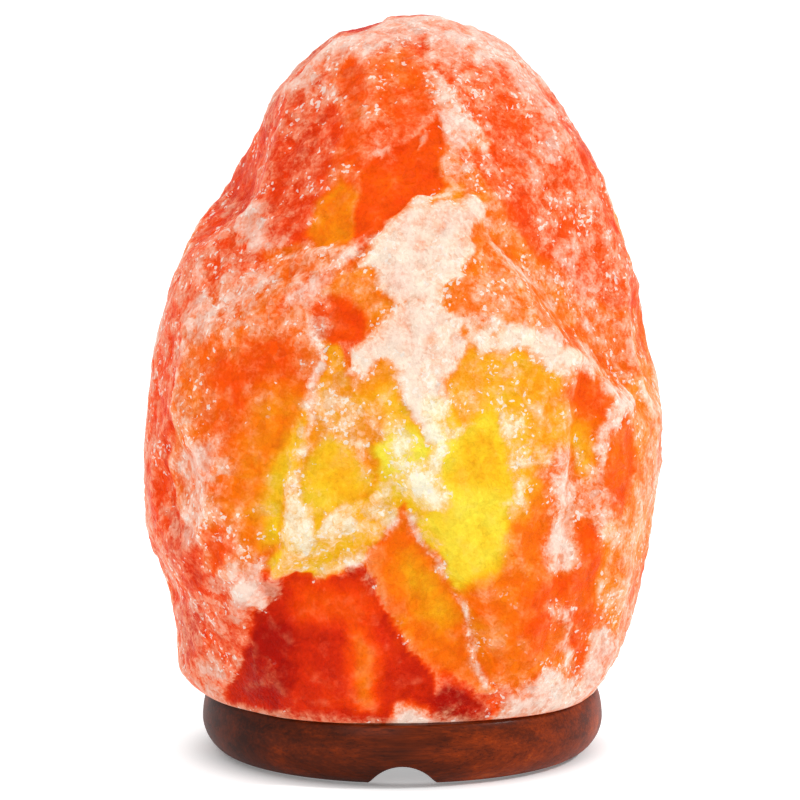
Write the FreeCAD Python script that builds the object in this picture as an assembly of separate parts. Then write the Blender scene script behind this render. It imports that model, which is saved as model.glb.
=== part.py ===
import FreeCAD, Part
import math
import os

from FreeCAD import Vector

# A salt crystal lamp: a rough block of rock salt, bored out from below, screwed onto a turned
# wooden base. A lamp holder with a small screw-in bulb pushes up through the base into the bore
# and is held there by three spring clips.
# Millimetres, +Z up. The origin is on the table, under the middle of the base. The front is -Y.

# ---- Driving dimensions ---------------------------------------------------------------------

# Salt block
crystal_height = 209.4
crystal_width = 162.0
crystal_depth = 146.0
bulb_bore_depth = 108.0
bulb_bore_end_radius = 12.0

# Turned base
base_diameter = 125.0
base_thickness = 19.0
base_seat_diameter = 120.6
base_foot_diameter = 108.6
base_widest_height = 10.2
base_rim_fullness = 0.36
base_web_thickness = 5.0
holder_hole_diameter = 48.0
bore_ledge_width = 2.0
recess_side_gap = 4.0
cord_notch_radius = 11.0
cord_notch_height = 6.4
cord_notch_edge_bevel = 0.5

# Rubber pads under the base
pad_count = 4
pad_diameter = 10.0
pad_thickness = 1.8
pad_pocket_depth = 1.2
pad_inset = 3.3
pad_first_angle = 45.0

# Screws that hold the block to the base, and the plugs that they bite in
screw_count = 3
screw_first_angle = 90.0
screw_diameter = 4.0
screw_bite = 16.0
screw_head_diameter = 7.6
screw_head_height = 2.4
screw_head_sink = 4.2
screw_from_recess = 6.0
screw_point_length = 4.0
screw_slot_width = 1.1
screw_slot_depth = 1.2
plug_wall = 1.45
plug_length = 18.0
plug_collar_width = 0.7
plug_collar_thickness = 0.8
plug_slit_width = 0.8
plug_slit_length = 12.0

# Pressed steel plate of the lamp holder
plate_diameter = 58.0
plate_sheet = 0.8
plate_rim_height = 3.6
plate_bend_radius = 0.8

# Spring clips on the plate, and their rivets
clip_count = 3
clip_first_angle = 30.0
clip_width = 9.0
clip_sheet = 0.5
clip_foot_length = 5.4
clip_bend_radius = 0.8
clip_crest_height = 8.8
clip_arm_length = 16.0
clip_arm_lean = 6.2
rivet_diameter = 2.4
rivet_head_width = 0.7
rivet_head_height = 0.9

# Threaded tube, nut, toothed washer and cord bushing below the plate
nipple_diameter = 10.0
nipple_wall = 1.3
nipple_past_nut = 0.6
nipple_in_cap = 1.6
nut_wall = 2.0
nut_thickness = 2.2
washer_width = 3.8
washer_sheet = 0.6
washer_tooth_count = 12
washer_tooth_depth = 1.6
washer_tooth_gap = 1.0
bushing_wall = 0.75
bushing_flange_width = 2.2
bushing_flange_thickness = 1.2
bushing_spigot_length = 3.2
bushing_mouth_round = 0.5

# Lamp holder
cap_diameter = 28.0
cap_height = 18.4
cap_floor = 2.4
cap_wall = 2.0
cap_shoulder_radius = 4.0
cap_ledge_width = 3.0
wiring_space = 9.0
skirt_wall = 3.2
skirt_above_shell = 4.0
skirt_rim_height = 3.0
skirt_spigot_length = 6.0
skirt_spigot_wall = 1.25
skirt_rib_count = 24
skirt_rib_depth = 0.6
skirt_groove_width = 1.4
core_height = 9.0
shell_sheet = 0.4
shell_below_collar = 0.7
shell_flange_width = 1.3
terminal_spacing = 11.0
terminal_plate_side = 5.0
terminal_plate_sheet = 0.9
terminal_screw_diameter = 3.0
terminal_screw_head_width = 0.9
terminal_screw_head_height = 1.5
terminal_screw_length = 7.0
terminal_screw_slot_width = 0.8
terminal_screw_slot_depth = 0.7
contact_strip_width = 4.0
contact_sheet = 0.4
contact_rise = 2.0
contact_foot_length = 2.5
contact_slope_length = 1.6
contact_pad_length = 3.6

# Bulb
bulb_thread_diameter = 13.7
bulb_cap_sheet = 0.3
bulb_thread_length = 12.0
bulb_collar_diameter = 16.4
bulb_collar_height = 3.0
collar_side_gap = 1.1
bulb_glass_diameter = 26.0
bulb_glass_wall = 0.7
bulb_body_length = 43.0
bulb_neck_length = 3.6
bulb_insulator_height = 3.0
bulb_insulator_tip_diameter = 6.0
bulb_insulator_plug_height = 1.5
bulb_contact_diameter = 4.6
bulb_contact_height = 1.2
stem_diameter = 6.0
stem_wall = 0.8
stem_height = 16.0
stem_flare_height = 5.0
stem_pinch_height = 4.0
lead_wire_diameter = 0.7
lead_spacing = 2.6
lead_tail_length = 8.0
filament_span = 13.0
filament_height = 12.0
filament_bow = 3.4
filament_diameter = 0.9
support_wire_diameter = 0.5
support_spread = 3.0

# Clearances
seat_gap = 0.2          # holder plate under the web of the base
press_gap = 0.05        # pieces pushed or screwed together
slip_gap = 0.15         # pieces that slide or turn in each other
crest_gap = 0.4         # clip crests in the bore of the block
tip_gap = 0.1           # bulb tip above the centre contact
head_gap = 0.6          # round a sunk screw head
foot_gap = 0.6          # clip feet beside the cap
hole_end_gap = 0.4      # past the end of a screw or a plug
edge_sink = 0.02        # cutters reach this far past a face that they cut

# ---- Levels and radii that follow from them --------------------------------------------------

base_bottom = pad_thickness - pad_pocket_depth
base_top = base_bottom + base_thickness
recess_ceiling = base_top - base_web_thickness
hole_radius = holder_hole_diameter / 2
bore_radius = hole_radius + bore_ledge_width
recess_radius = plate_diameter / 2 + recess_side_gap
pad_circle_radius = base_foot_diameter / 2 - pad_inset - pad_diameter / 2
screw_circle_radius = recess_radius + screw_from_recess

plate_top = recess_ceiling - seat_gap
plate_bottom = plate_top - plate_sheet
washer_bottom = plate_bottom - washer_sheet
nut_bottom = washer_bottom - nut_thickness
nipple_bottom = nut_bottom - nipple_past_nut
nipple_radius = nipple_diameter / 2
nipple_bore_radius = nipple_radius - nipple_wall
bushing_bore_radius = nipple_bore_radius - press_gap - bushing_wall

cap_radius = cap_diameter / 2
cap_top = plate_top + cap_height
core_bottom = plate_top + cap_floor + wiring_space
core_top = core_bottom + core_height
spigot_radius = cap_radius - cap_wall - slip_gap
core_radius = spigot_radius - skirt_spigot_wall - slip_gap
clip_foot_start = cap_radius + foot_gap
rivet_place = clip_foot_start + clip_foot_length / 2

contact_top = core_top + contact_rise
bulb_tip = contact_top + tip_gap
insulator_bottom = bulb_tip + bulb_contact_height
thread_bottom = insulator_bottom + bulb_insulator_height
thread_radius = bulb_thread_diameter / 2
collar_bottom = thread_bottom + bulb_thread_length
collar_top = collar_bottom + bulb_collar_height
collar_radius = bulb_collar_diameter / 2
glass_top = collar_top + bulb_body_length
neck_radius = collar_radius - bulb_cap_sheet - slip_gap
neck_bottom = collar_bottom + bulb_cap_sheet + slip_gap
stem_top = neck_bottom + stem_height
filament_level = stem_top + filament_height
shell_radius = thread_radius + slip_gap + shell_sheet
shell_top = collar_bottom - shell_below_collar
skirt_bore_radius = collar_radius + collar_side_gap
skirt_top = shell_top + skirt_above_shell

os.makedirs("parts", exist_ok=True)


# ---- Shared helpers -------------------------------------------------------------------------

def at(radius, height):
    """A point of a lathe outline, in the XZ plane."""
    return Vector(radius, 0, height)


def edges_through(start, steps):
    """Edges from start: a pair is a straight run, and a pair of pairs is an arc (middle, end)."""
    edges = []
    here = at(*start)
    for step in steps:
        if isinstance(step[0], tuple):
            end = at(*step[1])
            edges.append(Part.Arc(here, at(*step[0]), end).toShape())
        else:
            end = at(*step)
            edges.append(Part.LineSegment(here, end).toShape())
        here = end
    return edges


def turned(edges):
    """Turns a closed outline about Z."""
    face = Part.Face(Part.Wire(edges))
    return face.revolve(Vector(0, 0, 0), Vector(0, 0, 1), 360).Solids[0]


def lathe(start, *steps):
    """Turns the outline through the steps, the last of which runs back to the start."""
    return turned(edges_through(start, [*steps, start]))


def rod(radius, low, high, x=0.0, y=0.0):
    return Part.makeCylinder(radius, high - low, Vector(x, y, low))


def rod_between(start, end, radius):
    return Part.makeCylinder(radius, (end - start).Length, start, end - start)


def bar(length, width, low, high, x=0.0):
    """A straight block along X, centred on (x, 0)."""
    return Part.makeBox(length, width, high - low, Vector(x - length / 2, -width / 2, low))


def around(shape, count, first_angle=0.0):
    """Copies of a shape drawn on the +X side, evenly spaced about Z."""
    copies = []
    for number in range(count):
        copy = shape.copy()
        copy.rotate(Vector(0, 0, 0), Vector(0, 0, 1), first_angle + number * 360 / count)
        copies.append(copy)
    return copies


def arc_middle(widest, level, rise, run):
    """Middle of the arc that leaves (widest, level) upright and ends run inwards, rise up."""
    radius = (rise * rise + run * run) / (2 * run)
    half_turn = math.asin(rise / radius) / 2
    return widest - radius + radius * math.cos(half_turn), level + radius * math.sin(half_turn)


def conic(start, corner, end, fullness):
    """A curve that leaves start, and reaches end, along the sides of the corner between them.

    Its fullness is 0 for a straight slope, 0.41 for part of an ellipse and 1 for the corner.
    """
    curve = Part.BezierCurve()
    curve.setPoles([at(*start), at(*corner), at(*end)])
    curve.setWeight(2, fullness / (1 - fullness))
    return curve.toShape()


def corner_middle(x, z, to_x, to_z):
    """Middle of the quarter arc from (x, z) to (to_x, to_z) that leaves (x, z) along X."""
    lean = math.sqrt(0.5)
    return x + (to_x - x) * lean, z + (to_z - z) * (1 - lean)


def cross_slot(length, width, depth, low):
    """A cutter for a cross-head slot that opens downwards at low."""
    blade = bar(length, width, low - edge_sink, low + depth)
    across = blade.copy()
    across.rotate(Vector(0, 0, 0), Vector(0, 0, 1), 90)
    return blade.fuse(across)


def moved(shape, x, y=0.0, z=0.0):
    shape.translate(Vector(x, y, z))
    return shape


def bent_strip(line, sheet, width, bend):
    """A strip of sheet metal whose middle follows a line in the XZ plane, with rounded bends."""
    points = [at(*point) for point in line]
    runs = [(end - start).normalize() for start, end in zip(points, points[1:])]
    sides = [Vector(-run.z, 0, run.x) for run in runs]
    upper, lower, bends = [], [], []
    for point, before, after in zip(points, [sides[0], *sides], [*sides, sides[-1]]):
        mitre = (before + after) * (sheet / 2 / (1 + before.dot(after)))
        upper.append(point + mitre)
        lower.append(point - mitre)
    for number in range(1, len(points) - 1):
        rising = runs[number - 1].cross(runs[number]).y < 0
        bends.append((upper[number], bend if rising else bend + sheet))
        bends.append((lower[number], bend + sheet if rising else bend))
    outline = Part.makePolygon([*upper, *reversed(lower), upper[0]])
    strip = Part.Face(outline).extrude(Vector(0, width, 0))
    strip = moved(strip, 0, -width / 2)
    for place, radius in bends:
        near = [
            edge
            for edge in strip.Edges
            if edge.BoundBox.YLength > width - edge_sink and edge.distToShape(Part.Vertex(place))[0] < edge_sink
        ]
        strip = strip.makeFillet(radius, near)
    return strip.Solids[0]


def save(name, *shapes):
    """Writes one node, made of one or more closed solids."""
    solids = [solid for shape in shapes for solid in shape.Solids]
    shape = solids[0] if len(solids) == 1 else Part.makeCompound(solids)
    shape.exportStep(f"parts/{name}.step")
    print(name, len(solids), round(sum(solid.Volume for solid in solids), 1), shape.isValid())


def save_each(name, shapes):
    """Writes like pieces as numbered nodes."""
    for number, shape in enumerate(shapes, start=1):
        save(f"{name}_{number}", shape)


# ---- Salt block -----------------------------------------------------------------------------

# The block's girth at each level: height as a share of the block's, then how far it reaches to
# the left, right, front and back, as shares of half the width or half the depth.
GIRTHS = (
    (0.00, 0.74, 0.74, 0.82, 0.81),
    (0.05, 0.84, 0.85, 0.90, 0.88),
    (0.13, 0.87, 0.93, 0.96, 0.94),
    (0.21, 0.94, 0.97, 1.00, 0.97),
    (0.35, 0.97, 1.01, 1.02, 1.00),
    (0.48, 0.93, 1.00, 1.01, 1.01),
    (0.60, 0.85, 0.94, 0.98, 0.98),
    (0.69, 0.76, 0.87, 0.89, 0.92),
    (0.76, 0.65, 0.81, 0.76, 0.84),
    (0.85, 0.52, 0.66, 0.58, 0.68),
    (0.93, 0.41, 0.49, 0.39, 0.46),
    (0.98, 0.17, 0.31, 0.20, 0.24),
    (1.00, 0.04, 0.16, 0.06, 0.08),
)
girth_points = 16
girth_squareness = 2.3
lobe_size = 0.03
lobe_drift = 2.1

# Flat faces struck off the block: which way each looks (azimuth and elevation in degrees), and
# its bite in thousandths of the block's height.
FLAKES = (
    (230, 33, 24),
    (302, 30, 26),
    (338, 20, 18),
    (197, 9, 8),
    (251, 4, 10),
    (286, 7, 11),
    (318, -14, 20),
    (222, -20, 16),
    (350, -10, 10),
    (18, 22, 24),
    (52, -4, 22),
    (72, 36, 26),
    (103, 8, 20),
    (138, 27, 30),
    (160, -10, 20),
    (95, -22, 16),
    (183, 44, 20),
)

# Creases, where one break ends against another: the place on the block (azimuth, and height as
# a share), how deep the crease lies in thousandths of the height, how steeply it climbs going
# anticlockwise, and how far each of its two faces looks to the crease's upper side, in degrees.
CREASES = (
    ((190, 0.745), 40, 0, (48, 23)),
    ((250, 0.70), 30, 20, (64, 20)),
    ((300, 0.70), 34, -46, (58, 16)),
    ((247, 0.22), 42, 38, (-50, -2)),
    ((285, 0.19), 32, -62, (-50, -2)),
    ((244, 0.44), 16, 83, (30, -25)),
    ((318, 0.50), 16, 80, (26, -24)),
    ((190, 0.145), 14, 8, (30, -26)),
    ((62, 0.58), 46, -20, (58, 8)),
    ((118, 0.36), 44, 30, (4, -36)),
    ((20, 0.30), 30, -40, (6, -30)),
)

# Shell-shaped breaks: the place on the block, the radius of the hollow, and how deep it goes.
SHELL_BREAKS = (
    ((212, 0.33), 0.34, 20),
    ((306, 0.30), 0.30, 18),
    ((352, 0.60), 0.36, 18),
    ((84, 0.20), 0.34, 20),
    ((150, 0.62), 0.38, 22),
)


def direction(azimuth, elevation=0.0):
    a, e = math.radians(azimuth), math.radians(elevation)
    return Vector(math.cos(a) * math.cos(e), math.sin(a) * math.cos(e), math.sin(e))


def reach(share, azimuth):
    """Distance from the block's axis to its skin, at a level and in a direction."""
    lower = max(row for row in GIRTHS if row[0] <= share)
    upper = min(row for row in GIRTHS if row[0] >= share)
    blend = (share - lower[0]) / (upper[0] - lower[0]) if upper[0] > lower[0] else 0.0
    left, right, front, back = (low + blend * (high - low) for low, high in zip(lower[1:], upper[1:]))
    turn = math.radians(azimuth)
    c, s = math.cos(turn), math.sin(turn)
    across = abs(c) / ((right if c > 0 else left) * crystal_width / 2)
    along = abs(s) / ((back if s > 0 else front) * crystal_depth / 2)
    lobes = 1 + lobe_size * math.sin(3 * turn + lobe_drift * share * math.pi) * math.sin(2 * turn + share)
    return lobes / (across**girth_squareness + along**girth_squareness) ** (1 / girth_squareness)


def on_skin(azimuth, share, sink=0.0):
    """A point under the block's skin, sink thousandths of its height deep."""
    radius = reach(share, azimuth) - sink * crystal_height / 1000
    return direction(azimuth) * radius + Vector(0, 0, base_top + share * crystal_height)


def girth_ring(share):
    """A closed curve round the block at one level."""
    turns = [360 * number / girth_points for number in range(girth_points)]
    curve = Part.BSplineCurve()
    curve.interpolate([on_skin(turn, share) for turn in turns], PeriodicFlag=True)
    return Part.Wire([curve.toShape()])


def half_space(normal, point):
    """A large box on the side of the plane through point that normal looks to."""
    size = 3 * crystal_height
    box = Part.makeBox(size, size, size, Vector(-size / 2, -size / 2, 0))
    box.Placement = FreeCAD.Placement(point, FreeCAD.Rotation(Vector(0, 0, 1), normal))
    return box


def crease_face(azimuth, climb, lean):
    """The way a face of a crease looks, leaning from straight out to the crease's upper side."""
    out, steep, turn = direction(azimuth), math.radians(climb), math.radians(lean)
    along = direction(azimuth + 90) * math.cos(steep) + Vector(0, 0, math.sin(steep))
    return out * math.cos(turn) + out.cross(along) * math.sin(turn)


def rough_block():
    rings = [girth_ring(row[0]) for row in GIRTHS]
    block = Part.makeLoft(rings, True, False).Solids[0]
    skin = [on_skin(turn, row[0]) for row in GIRTHS for turn in range(0, 360, 10)]
    for azimuth, elevation, bite in FLAKES:
        normal = direction(azimuth, elevation)
        farthest = max(point.dot(normal) for point in skin)
        block = block.cut(half_space(normal, normal * (farthest - bite * crystal_height / 1000)))
    for place, sink, climb, leans in CREASES:
        point = on_skin(*place, sink)
        one, other = [half_space(crease_face(place[0], climb, lean), point) for lean in leans]
        block = block.cut(one.common(other))
    for place, radius, sink in SHELL_BREAKS:
        radius = radius * crystal_height
        floor = on_skin(*place, sink)
        block = block.cut(Part.makeSphere(radius, floor + direction(place[0]) * radius))
    block = max(block.Solids, key=lambda solid: solid.Volume)
    box = block.optimalBoundingBox(False)
    return moved(block, -box.Center.x, -box.Center.y)


def bulb_bore():
    """The blind hole drilled up into the block, with a rounded end."""
    end = bulb_bore_end_radius
    top = base_top + bulb_bore_depth
    shoulder = (bore_radius, top - end)
    crown = (bore_radius - end, top)
    return lathe(
        (0, base_top - edge_sink),
        (bore_radius, base_top - edge_sink),
        shoulder,
        (corner_middle(*crown, *shoulder), crown),
        (0, top),
    )


def plug_radius():
    return screw_diameter / 2 + press_gap + plug_wall


def plug_hole():
    low = base_top - edge_sink
    hole = rod(plug_radius() + press_gap, low, base_top + plug_length + hole_end_gap, screw_circle_radius)
    collar_radius_here = plug_radius() + plug_collar_width + press_gap
    mouth = rod(collar_radius_here, low, base_top + plug_collar_thickness + press_gap, screw_circle_radius)
    return hole.fuse(mouth)


salt_crystal = rough_block().cut([bulb_bore(), *around(plug_hole(), screw_count, screw_first_angle)])
save("salt_crystal", salt_crystal)


# ---- Turned base ----------------------------------------------------------------------------

def base_blank():
    """The lathe-turned ring: flat seat, rounded rim, recess below and a hole for the holder."""
    seat, foot = (base_seat_diameter / 2, base_top), (base_foot_diameter / 2, base_bottom)
    radius = base_diameter / 2
    widest = (radius, base_bottom + base_widest_height)
    rim = [
        conic(seat, (radius, base_top), widest, base_rim_fullness),
        conic(widest, (radius, base_bottom), foot, base_rim_fullness),
    ]
    inside = [
        (recess_radius, base_bottom),
        (recess_radius, recess_ceiling),
        (hole_radius, recess_ceiling),
        (hole_radius, base_top),
        seat,
    ]
    return turned([*rim, *edges_through(foot, inside)])


def cord_notch():
    """The arched groove that the cord leaves by, from the recess out through the front."""
    axis = Vector(0, 0, base_bottom + cord_notch_height - cord_notch_radius)
    return Part.makeCylinder(cord_notch_radius, base_diameter, axis, Vector(0, -1, 0))


def notch_mouth(solid):
    """The edge where the groove breaks out through the rim."""
    axis_level = base_bottom + cord_notch_height - cord_notch_radius
    mouth = []
    for edge in solid.Edges:
        middle = edge.valueAt((edge.FirstParameter + edge.LastParameter) / 2)
        from_axis = math.hypot(middle.x, middle.z - axis_level)
        if abs(from_axis - cord_notch_radius) < edge_sink and -middle.y > base_foot_diameter / 2:
            mouth.append(edge)
    return mouth


def pad_pocket():
    low, high = base_bottom - edge_sink, base_bottom + pad_pocket_depth
    return rod(pad_diameter / 2 + press_gap, low, high, pad_circle_radius)


def screw_hole():
    shank = rod(screw_diameter / 2 + slip_gap, base_bottom, base_top + edge_sink, screw_circle_radius)
    low, high = base_bottom - edge_sink, base_bottom + screw_head_sink
    return shank.fuse(rod(screw_head_diameter / 2 + head_gap, low, high, screw_circle_radius))


def wooden_base():
    pockets = around(pad_pocket(), pad_count, pad_first_angle)
    holes = around(screw_hole(), screw_count, screw_first_angle)
    solid = base_blank().cut([cord_notch(), *pockets, *holes]).Solids[0]
    return solid.makeChamfer(cord_notch_edge_bevel, notch_mouth(solid))


def base_pad():
    pad = rod(pad_diameter / 2, 0, pad_thickness, pad_circle_radius)
    lower = [edge for edge in pad.Edges if edge.BoundBox.ZMax < edge_sink]
    return pad.makeChamfer((pad_thickness - pad_pocket_depth) / 2, lower)


def base_screw():
    """A pan-headed wood screw, head down in the base, with a cross slot and a point."""
    seat = base_bottom + screw_head_sink
    low = seat - screw_head_height
    top = base_top + screw_bite
    shank, wide, slope = screw_diameter / 2, screw_head_diameter / 2, screw_head_height / 2
    solid = lathe(
        (0, low),
        (wide - slope, low),
        (wide, low + slope),
        (wide, seat),
        (shank, seat),
        (shank, top - screw_point_length),
        (0, top),
    )
    solid = solid.cut(cross_slot(wide, screw_slot_width, screw_slot_depth, low))
    return moved(solid, screw_circle_radius)


def wall_plug():
    """The split nylon plug in the block, with a collar at its mouth."""
    bore, outer = screw_diameter / 2 + press_gap, plug_radius()
    collar = outer + plug_collar_width
    top = base_top + plug_length
    solid = lathe(
        (bore, base_top + press_gap),
        (collar, base_top + press_gap),
        (collar, base_top + plug_collar_thickness),
        (outer, base_top + plug_collar_thickness),
        (outer, top),
        (bore, top),
    )
    slit = bar(3 * outer, plug_slit_width, top - plug_slit_length, top + edge_sink)
    return moved(solid.cut(slit), screw_circle_radius)


save("wooden_base", wooden_base())
save_each("base_pad", around(base_pad(), pad_count, pad_first_angle))
save("base_screws", *around(base_screw(), screw_count, screw_first_angle))
save("wall_plugs", *around(wall_plug(), screw_count, screw_first_angle))


# ---- Holder plate, clips and rivets ---------------------------------------------------------

def rivet_hole(low, high):
    return rod(rivet_diameter / 2 + press_gap, low - edge_sink, high + edge_sink, rivet_place)


def holder_plate():
    """A pressed steel pan with its rim turned down."""
    rim = plate_diameter / 2
    rim_bottom = plate_bottom - plate_rim_height
    top_bend, side_bend = (rim - plate_bend_radius, plate_top), (rim, plate_top - plate_bend_radius)
    pan = lathe(
        (nipple_radius + press_gap, plate_bottom),
        (nipple_radius + press_gap, plate_top),
        top_bend,
        (corner_middle(*top_bend, *side_bend), side_bend),
        (rim, rim_bottom),
        (rim - plate_sheet, rim_bottom),
        (rim - plate_sheet, plate_bottom),
    )
    return pan.cut(around(rivet_hole(plate_bottom, plate_top), clip_count, clip_first_angle))


def spring_clip():
    """A bent strip: foot under the rivet, rising leg, crest that presses in the bore, free arm."""
    foot = plate_top + clip_sheet / 2
    crest_radius = bore_radius - crest_gap - clip_sheet / 2
    crest = base_top + clip_crest_height
    line = (
        (clip_foot_start, foot),
        (clip_foot_start + clip_foot_length, foot),
        (crest_radius, crest),
        (crest_radius - clip_arm_lean, crest + clip_arm_length),
    )
    strip = bent_strip(line, clip_sheet, clip_width, clip_bend_radius)
    return strip.cut(rivet_hole(plate_top, plate_top + clip_sheet))


def rivet():
    """Closed over the plate and the foot of a clip."""
    shank = rivet_diameter / 2
    head = shank + rivet_head_width
    low, high = plate_bottom, plate_top + clip_sheet
    solid = lathe(
        (0, low - rivet_head_height),
        (shank, low - rivet_head_height),
        (head, low),
        (shank, low),
        (shank, high),
        (head, high),
        (head, high + rivet_head_height),
        (0, high + rivet_head_height),
    )
    return moved(solid, rivet_place)


save("holder_plate", holder_plate())
save_each("spring_clip", around(spring_clip(), clip_count, clip_first_angle))
save("clip_rivets", *around(rivet(), clip_count, clip_first_angle))


# ---- Threaded tube, nut, washer and cord bushing --------------------------------------------

def threaded_nipple():
    top = plate_top + cap_floor + nipple_in_cap
    tube = rod(nipple_radius, nipple_bottom, top)
    return tube.cut(rod(nipple_bore_radius, nipple_bottom - edge_sink, top + edge_sink))


def nipple_nut():
    """A hexagon with its lower corners turned off."""
    flat = nipple_radius + nut_wall
    corner = flat / math.cos(math.pi / 6)
    corners = [direction(60 * number) * corner + Vector(0, 0, nut_bottom) for number in range(7)]
    prism = Part.Face(Part.makePolygon(corners)).extrude(Vector(0, 0, nut_thickness))
    turned = lathe(
        (0, nut_bottom),
        (flat, nut_bottom),
        (corner, nut_bottom + (corner - flat)),
        (corner, washer_bottom),
        (0, washer_bottom),
    )
    bore = rod(nipple_radius + press_gap, nut_bottom - edge_sink, washer_bottom + edge_sink)
    return prism.common(turned).cut(bore).Solids[0]


def toothed_washer():
    outer = nipple_radius + press_gap + washer_width
    low, high = washer_bottom, plate_bottom
    ring = rod(outer, low, high)
    gap = bar(2 * washer_tooth_depth, washer_tooth_gap, low - edge_sink, high + edge_sink, outer)
    hole = rod(nipple_radius + press_gap, low - edge_sink, high + edge_sink)
    return ring.cut([hole, *around(gap, washer_tooth_count)])


def cord_bushing():
    """Smooth lining of the tube's lower end, with a rounded mouth where the cord comes out."""
    bore, spigot = bushing_bore_radius, nipple_bore_radius - press_gap
    flange = nipple_bore_radius + bushing_flange_width
    low, mouth = nipple_bottom - bushing_flange_thickness, bushing_mouth_round
    solid = lathe(
        (bore, low + mouth),
        (corner_middle(bore + mouth, low, bore, low + mouth), (bore + mouth, low)),
        (flange, low),
        (flange, nipple_bottom),
        (spigot, nipple_bottom),
        (spigot, nipple_bottom + bushing_spigot_length),
        (bore, nipple_bottom + bushing_spigot_length),
    )
    return solid


save("threaded_nipple", threaded_nipple())
save("nipple_nut", nipple_nut())
save("toothed_washer", toothed_washer())
save("cord_bushing", cord_bushing())


# ---- Lamp holder ----------------------------------------------------------------------------

def socket_cap():
    """The lower half of the holder, with the ledge that its core stands on."""
    shoulder = cap_shoulder_radius
    low_corner, side_corner = (cap_radius - shoulder, plate_top), (cap_radius, plate_top + shoulder)
    inside = cap_radius - cap_wall
    floor = plate_top + cap_floor
    return lathe(
        (nipple_radius + press_gap, plate_top),
        low_corner,
        (corner_middle(*low_corner, *side_corner), side_corner),
        (cap_radius, cap_top),
        (inside, cap_top),
        (inside, core_bottom),
        (inside - cap_ledge_width, core_bottom),
        (inside - cap_ledge_width, floor),
        (nipple_radius + press_gap, floor),
    )


def socket_skirt():
    """The upper half: it screws into the cap by its spigot and holds the core down."""
    outer = skirt_bore_radius + skirt_wall
    inner = core_radius + slip_gap
    spigot_bottom = cap_top - skirt_spigot_length
    body = lathe(
        (inner, spigot_bottom),
        (spigot_radius, spigot_bottom),
        (spigot_radius, cap_top),
        (cap_radius, cap_top),
        (cap_radius, cap_top + skirt_rim_height),
        (outer, cap_top + skirt_rim_height),
        (outer, skirt_top),
        (skirt_bore_radius, skirt_top),
        (skirt_bore_radius, core_top + slip_gap),
        (inner, core_top + slip_gap),
    )
    low, high = cap_top + skirt_rim_height, skirt_top
    groove = bar(2 * skirt_rib_depth, skirt_groove_width, low, high - skirt_rib_depth, outer)
    return body.cut(around(groove, skirt_rib_count))


def terminal_holes():
    top = core_bottom + terminal_screw_length - terminal_plate_sheet + hole_end_gap
    hole = rod(terminal_screw_diameter / 2 + press_gap, core_bottom - edge_sink, top, terminal_spacing / 2)
    return around(hole, 2)


def insulator_core():
    """The fired clay disc that carries the screw shell, the contact and the terminals."""
    disc = rod(core_radius, core_bottom, core_top)
    return disc.cut(terminal_holes())


def screw_shell():
    """The threaded brass tube that the bulb turns into, with a flange on the core."""
    inner, outer = shell_radius - shell_sheet, shell_radius
    return lathe(
        (inner, core_top),
        (outer + shell_flange_width, core_top),
        (outer + shell_flange_width, core_top + shell_sheet),
        (outer, core_top + shell_sheet),
        (outer, shell_top),
        (inner, shell_top),
    )


def centre_contact():
    """A bent strip on the core: a foot, a slope, and the pad that the bulb's tip presses on."""
    low, high = core_top + contact_sheet / 2, contact_top - contact_sheet / 2
    pad_end = contact_pad_length / 2
    line = (
        (-pad_end - contact_slope_length - contact_foot_length, low),
        (-pad_end - contact_slope_length, low),
        (-pad_end, high),
        (pad_end, high),
    )
    return bent_strip(line, contact_sheet, contact_strip_width, contact_sheet)


def terminal_plate():
    low = core_bottom - terminal_plate_sheet
    side = terminal_plate_side
    plate = bar(side, side, low, core_bottom, terminal_spacing / 2)
    hole = rod(terminal_screw_diameter / 2 + press_gap, low - edge_sink, core_bottom, terminal_spacing / 2)
    return plate.cut(hole)


def terminal_screw():
    seat = core_bottom - terminal_plate_sheet
    low = seat - terminal_screw_head_height
    shank = terminal_screw_diameter / 2
    head = shank + terminal_screw_head_width
    screw = rod(head, low, seat).fuse(rod(shank, seat, seat + terminal_screw_length)).removeSplitter()
    slot = bar(3 * head, terminal_screw_slot_width, low - edge_sink, low + terminal_screw_slot_depth)
    return moved(screw.cut(slot), terminal_spacing / 2)


save("socket_cap", socket_cap())
save("socket_skirt", socket_skirt())
save("insulator_core", insulator_core())
save("screw_shell", screw_shell())
save("centre_contact", centre_contact())
save_each("terminal_plate", around(terminal_plate(), 2))
save("terminal_screws", *around(terminal_screw(), 2))


# ---- Bulb -----------------------------------------------------------------------------------

def cap_contact():
    button = rod(bulb_contact_diameter / 2, bulb_tip, insulator_bottom)
    lower = [edge for edge in button.Edges if edge.BoundBox.ZMax < bulb_tip + edge_sink]
    return button.makeFillet(bulb_contact_height / 2, lower)


def cap_insulator():
    """The black glass between the tip and the threaded cap, with a plug inside the cap."""
    inside = thread_radius - bulb_cap_sheet - press_gap
    return lathe(
        (0, insulator_bottom),
        (bulb_insulator_tip_diameter / 2, insulator_bottom),
        (inside, thread_bottom),
        (inside, thread_bottom + bulb_insulator_plug_height),
        (0, thread_bottom + bulb_insulator_plug_height),
    )


def bulb_cap():
    """The threaded brass cap, flared to a collar that takes the neck of the glass."""
    sheet = bulb_cap_sheet
    return lathe(
        (thread_radius - sheet, thread_bottom),
        (thread_radius, thread_bottom),
        (thread_radius, collar_bottom),
        (collar_radius, collar_bottom),
        (collar_radius, collar_top),
        (collar_radius - sheet, collar_top),
        (collar_radius - sheet, collar_bottom + sheet),
        (thread_radius - sheet, collar_bottom + sheet),
    )


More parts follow.
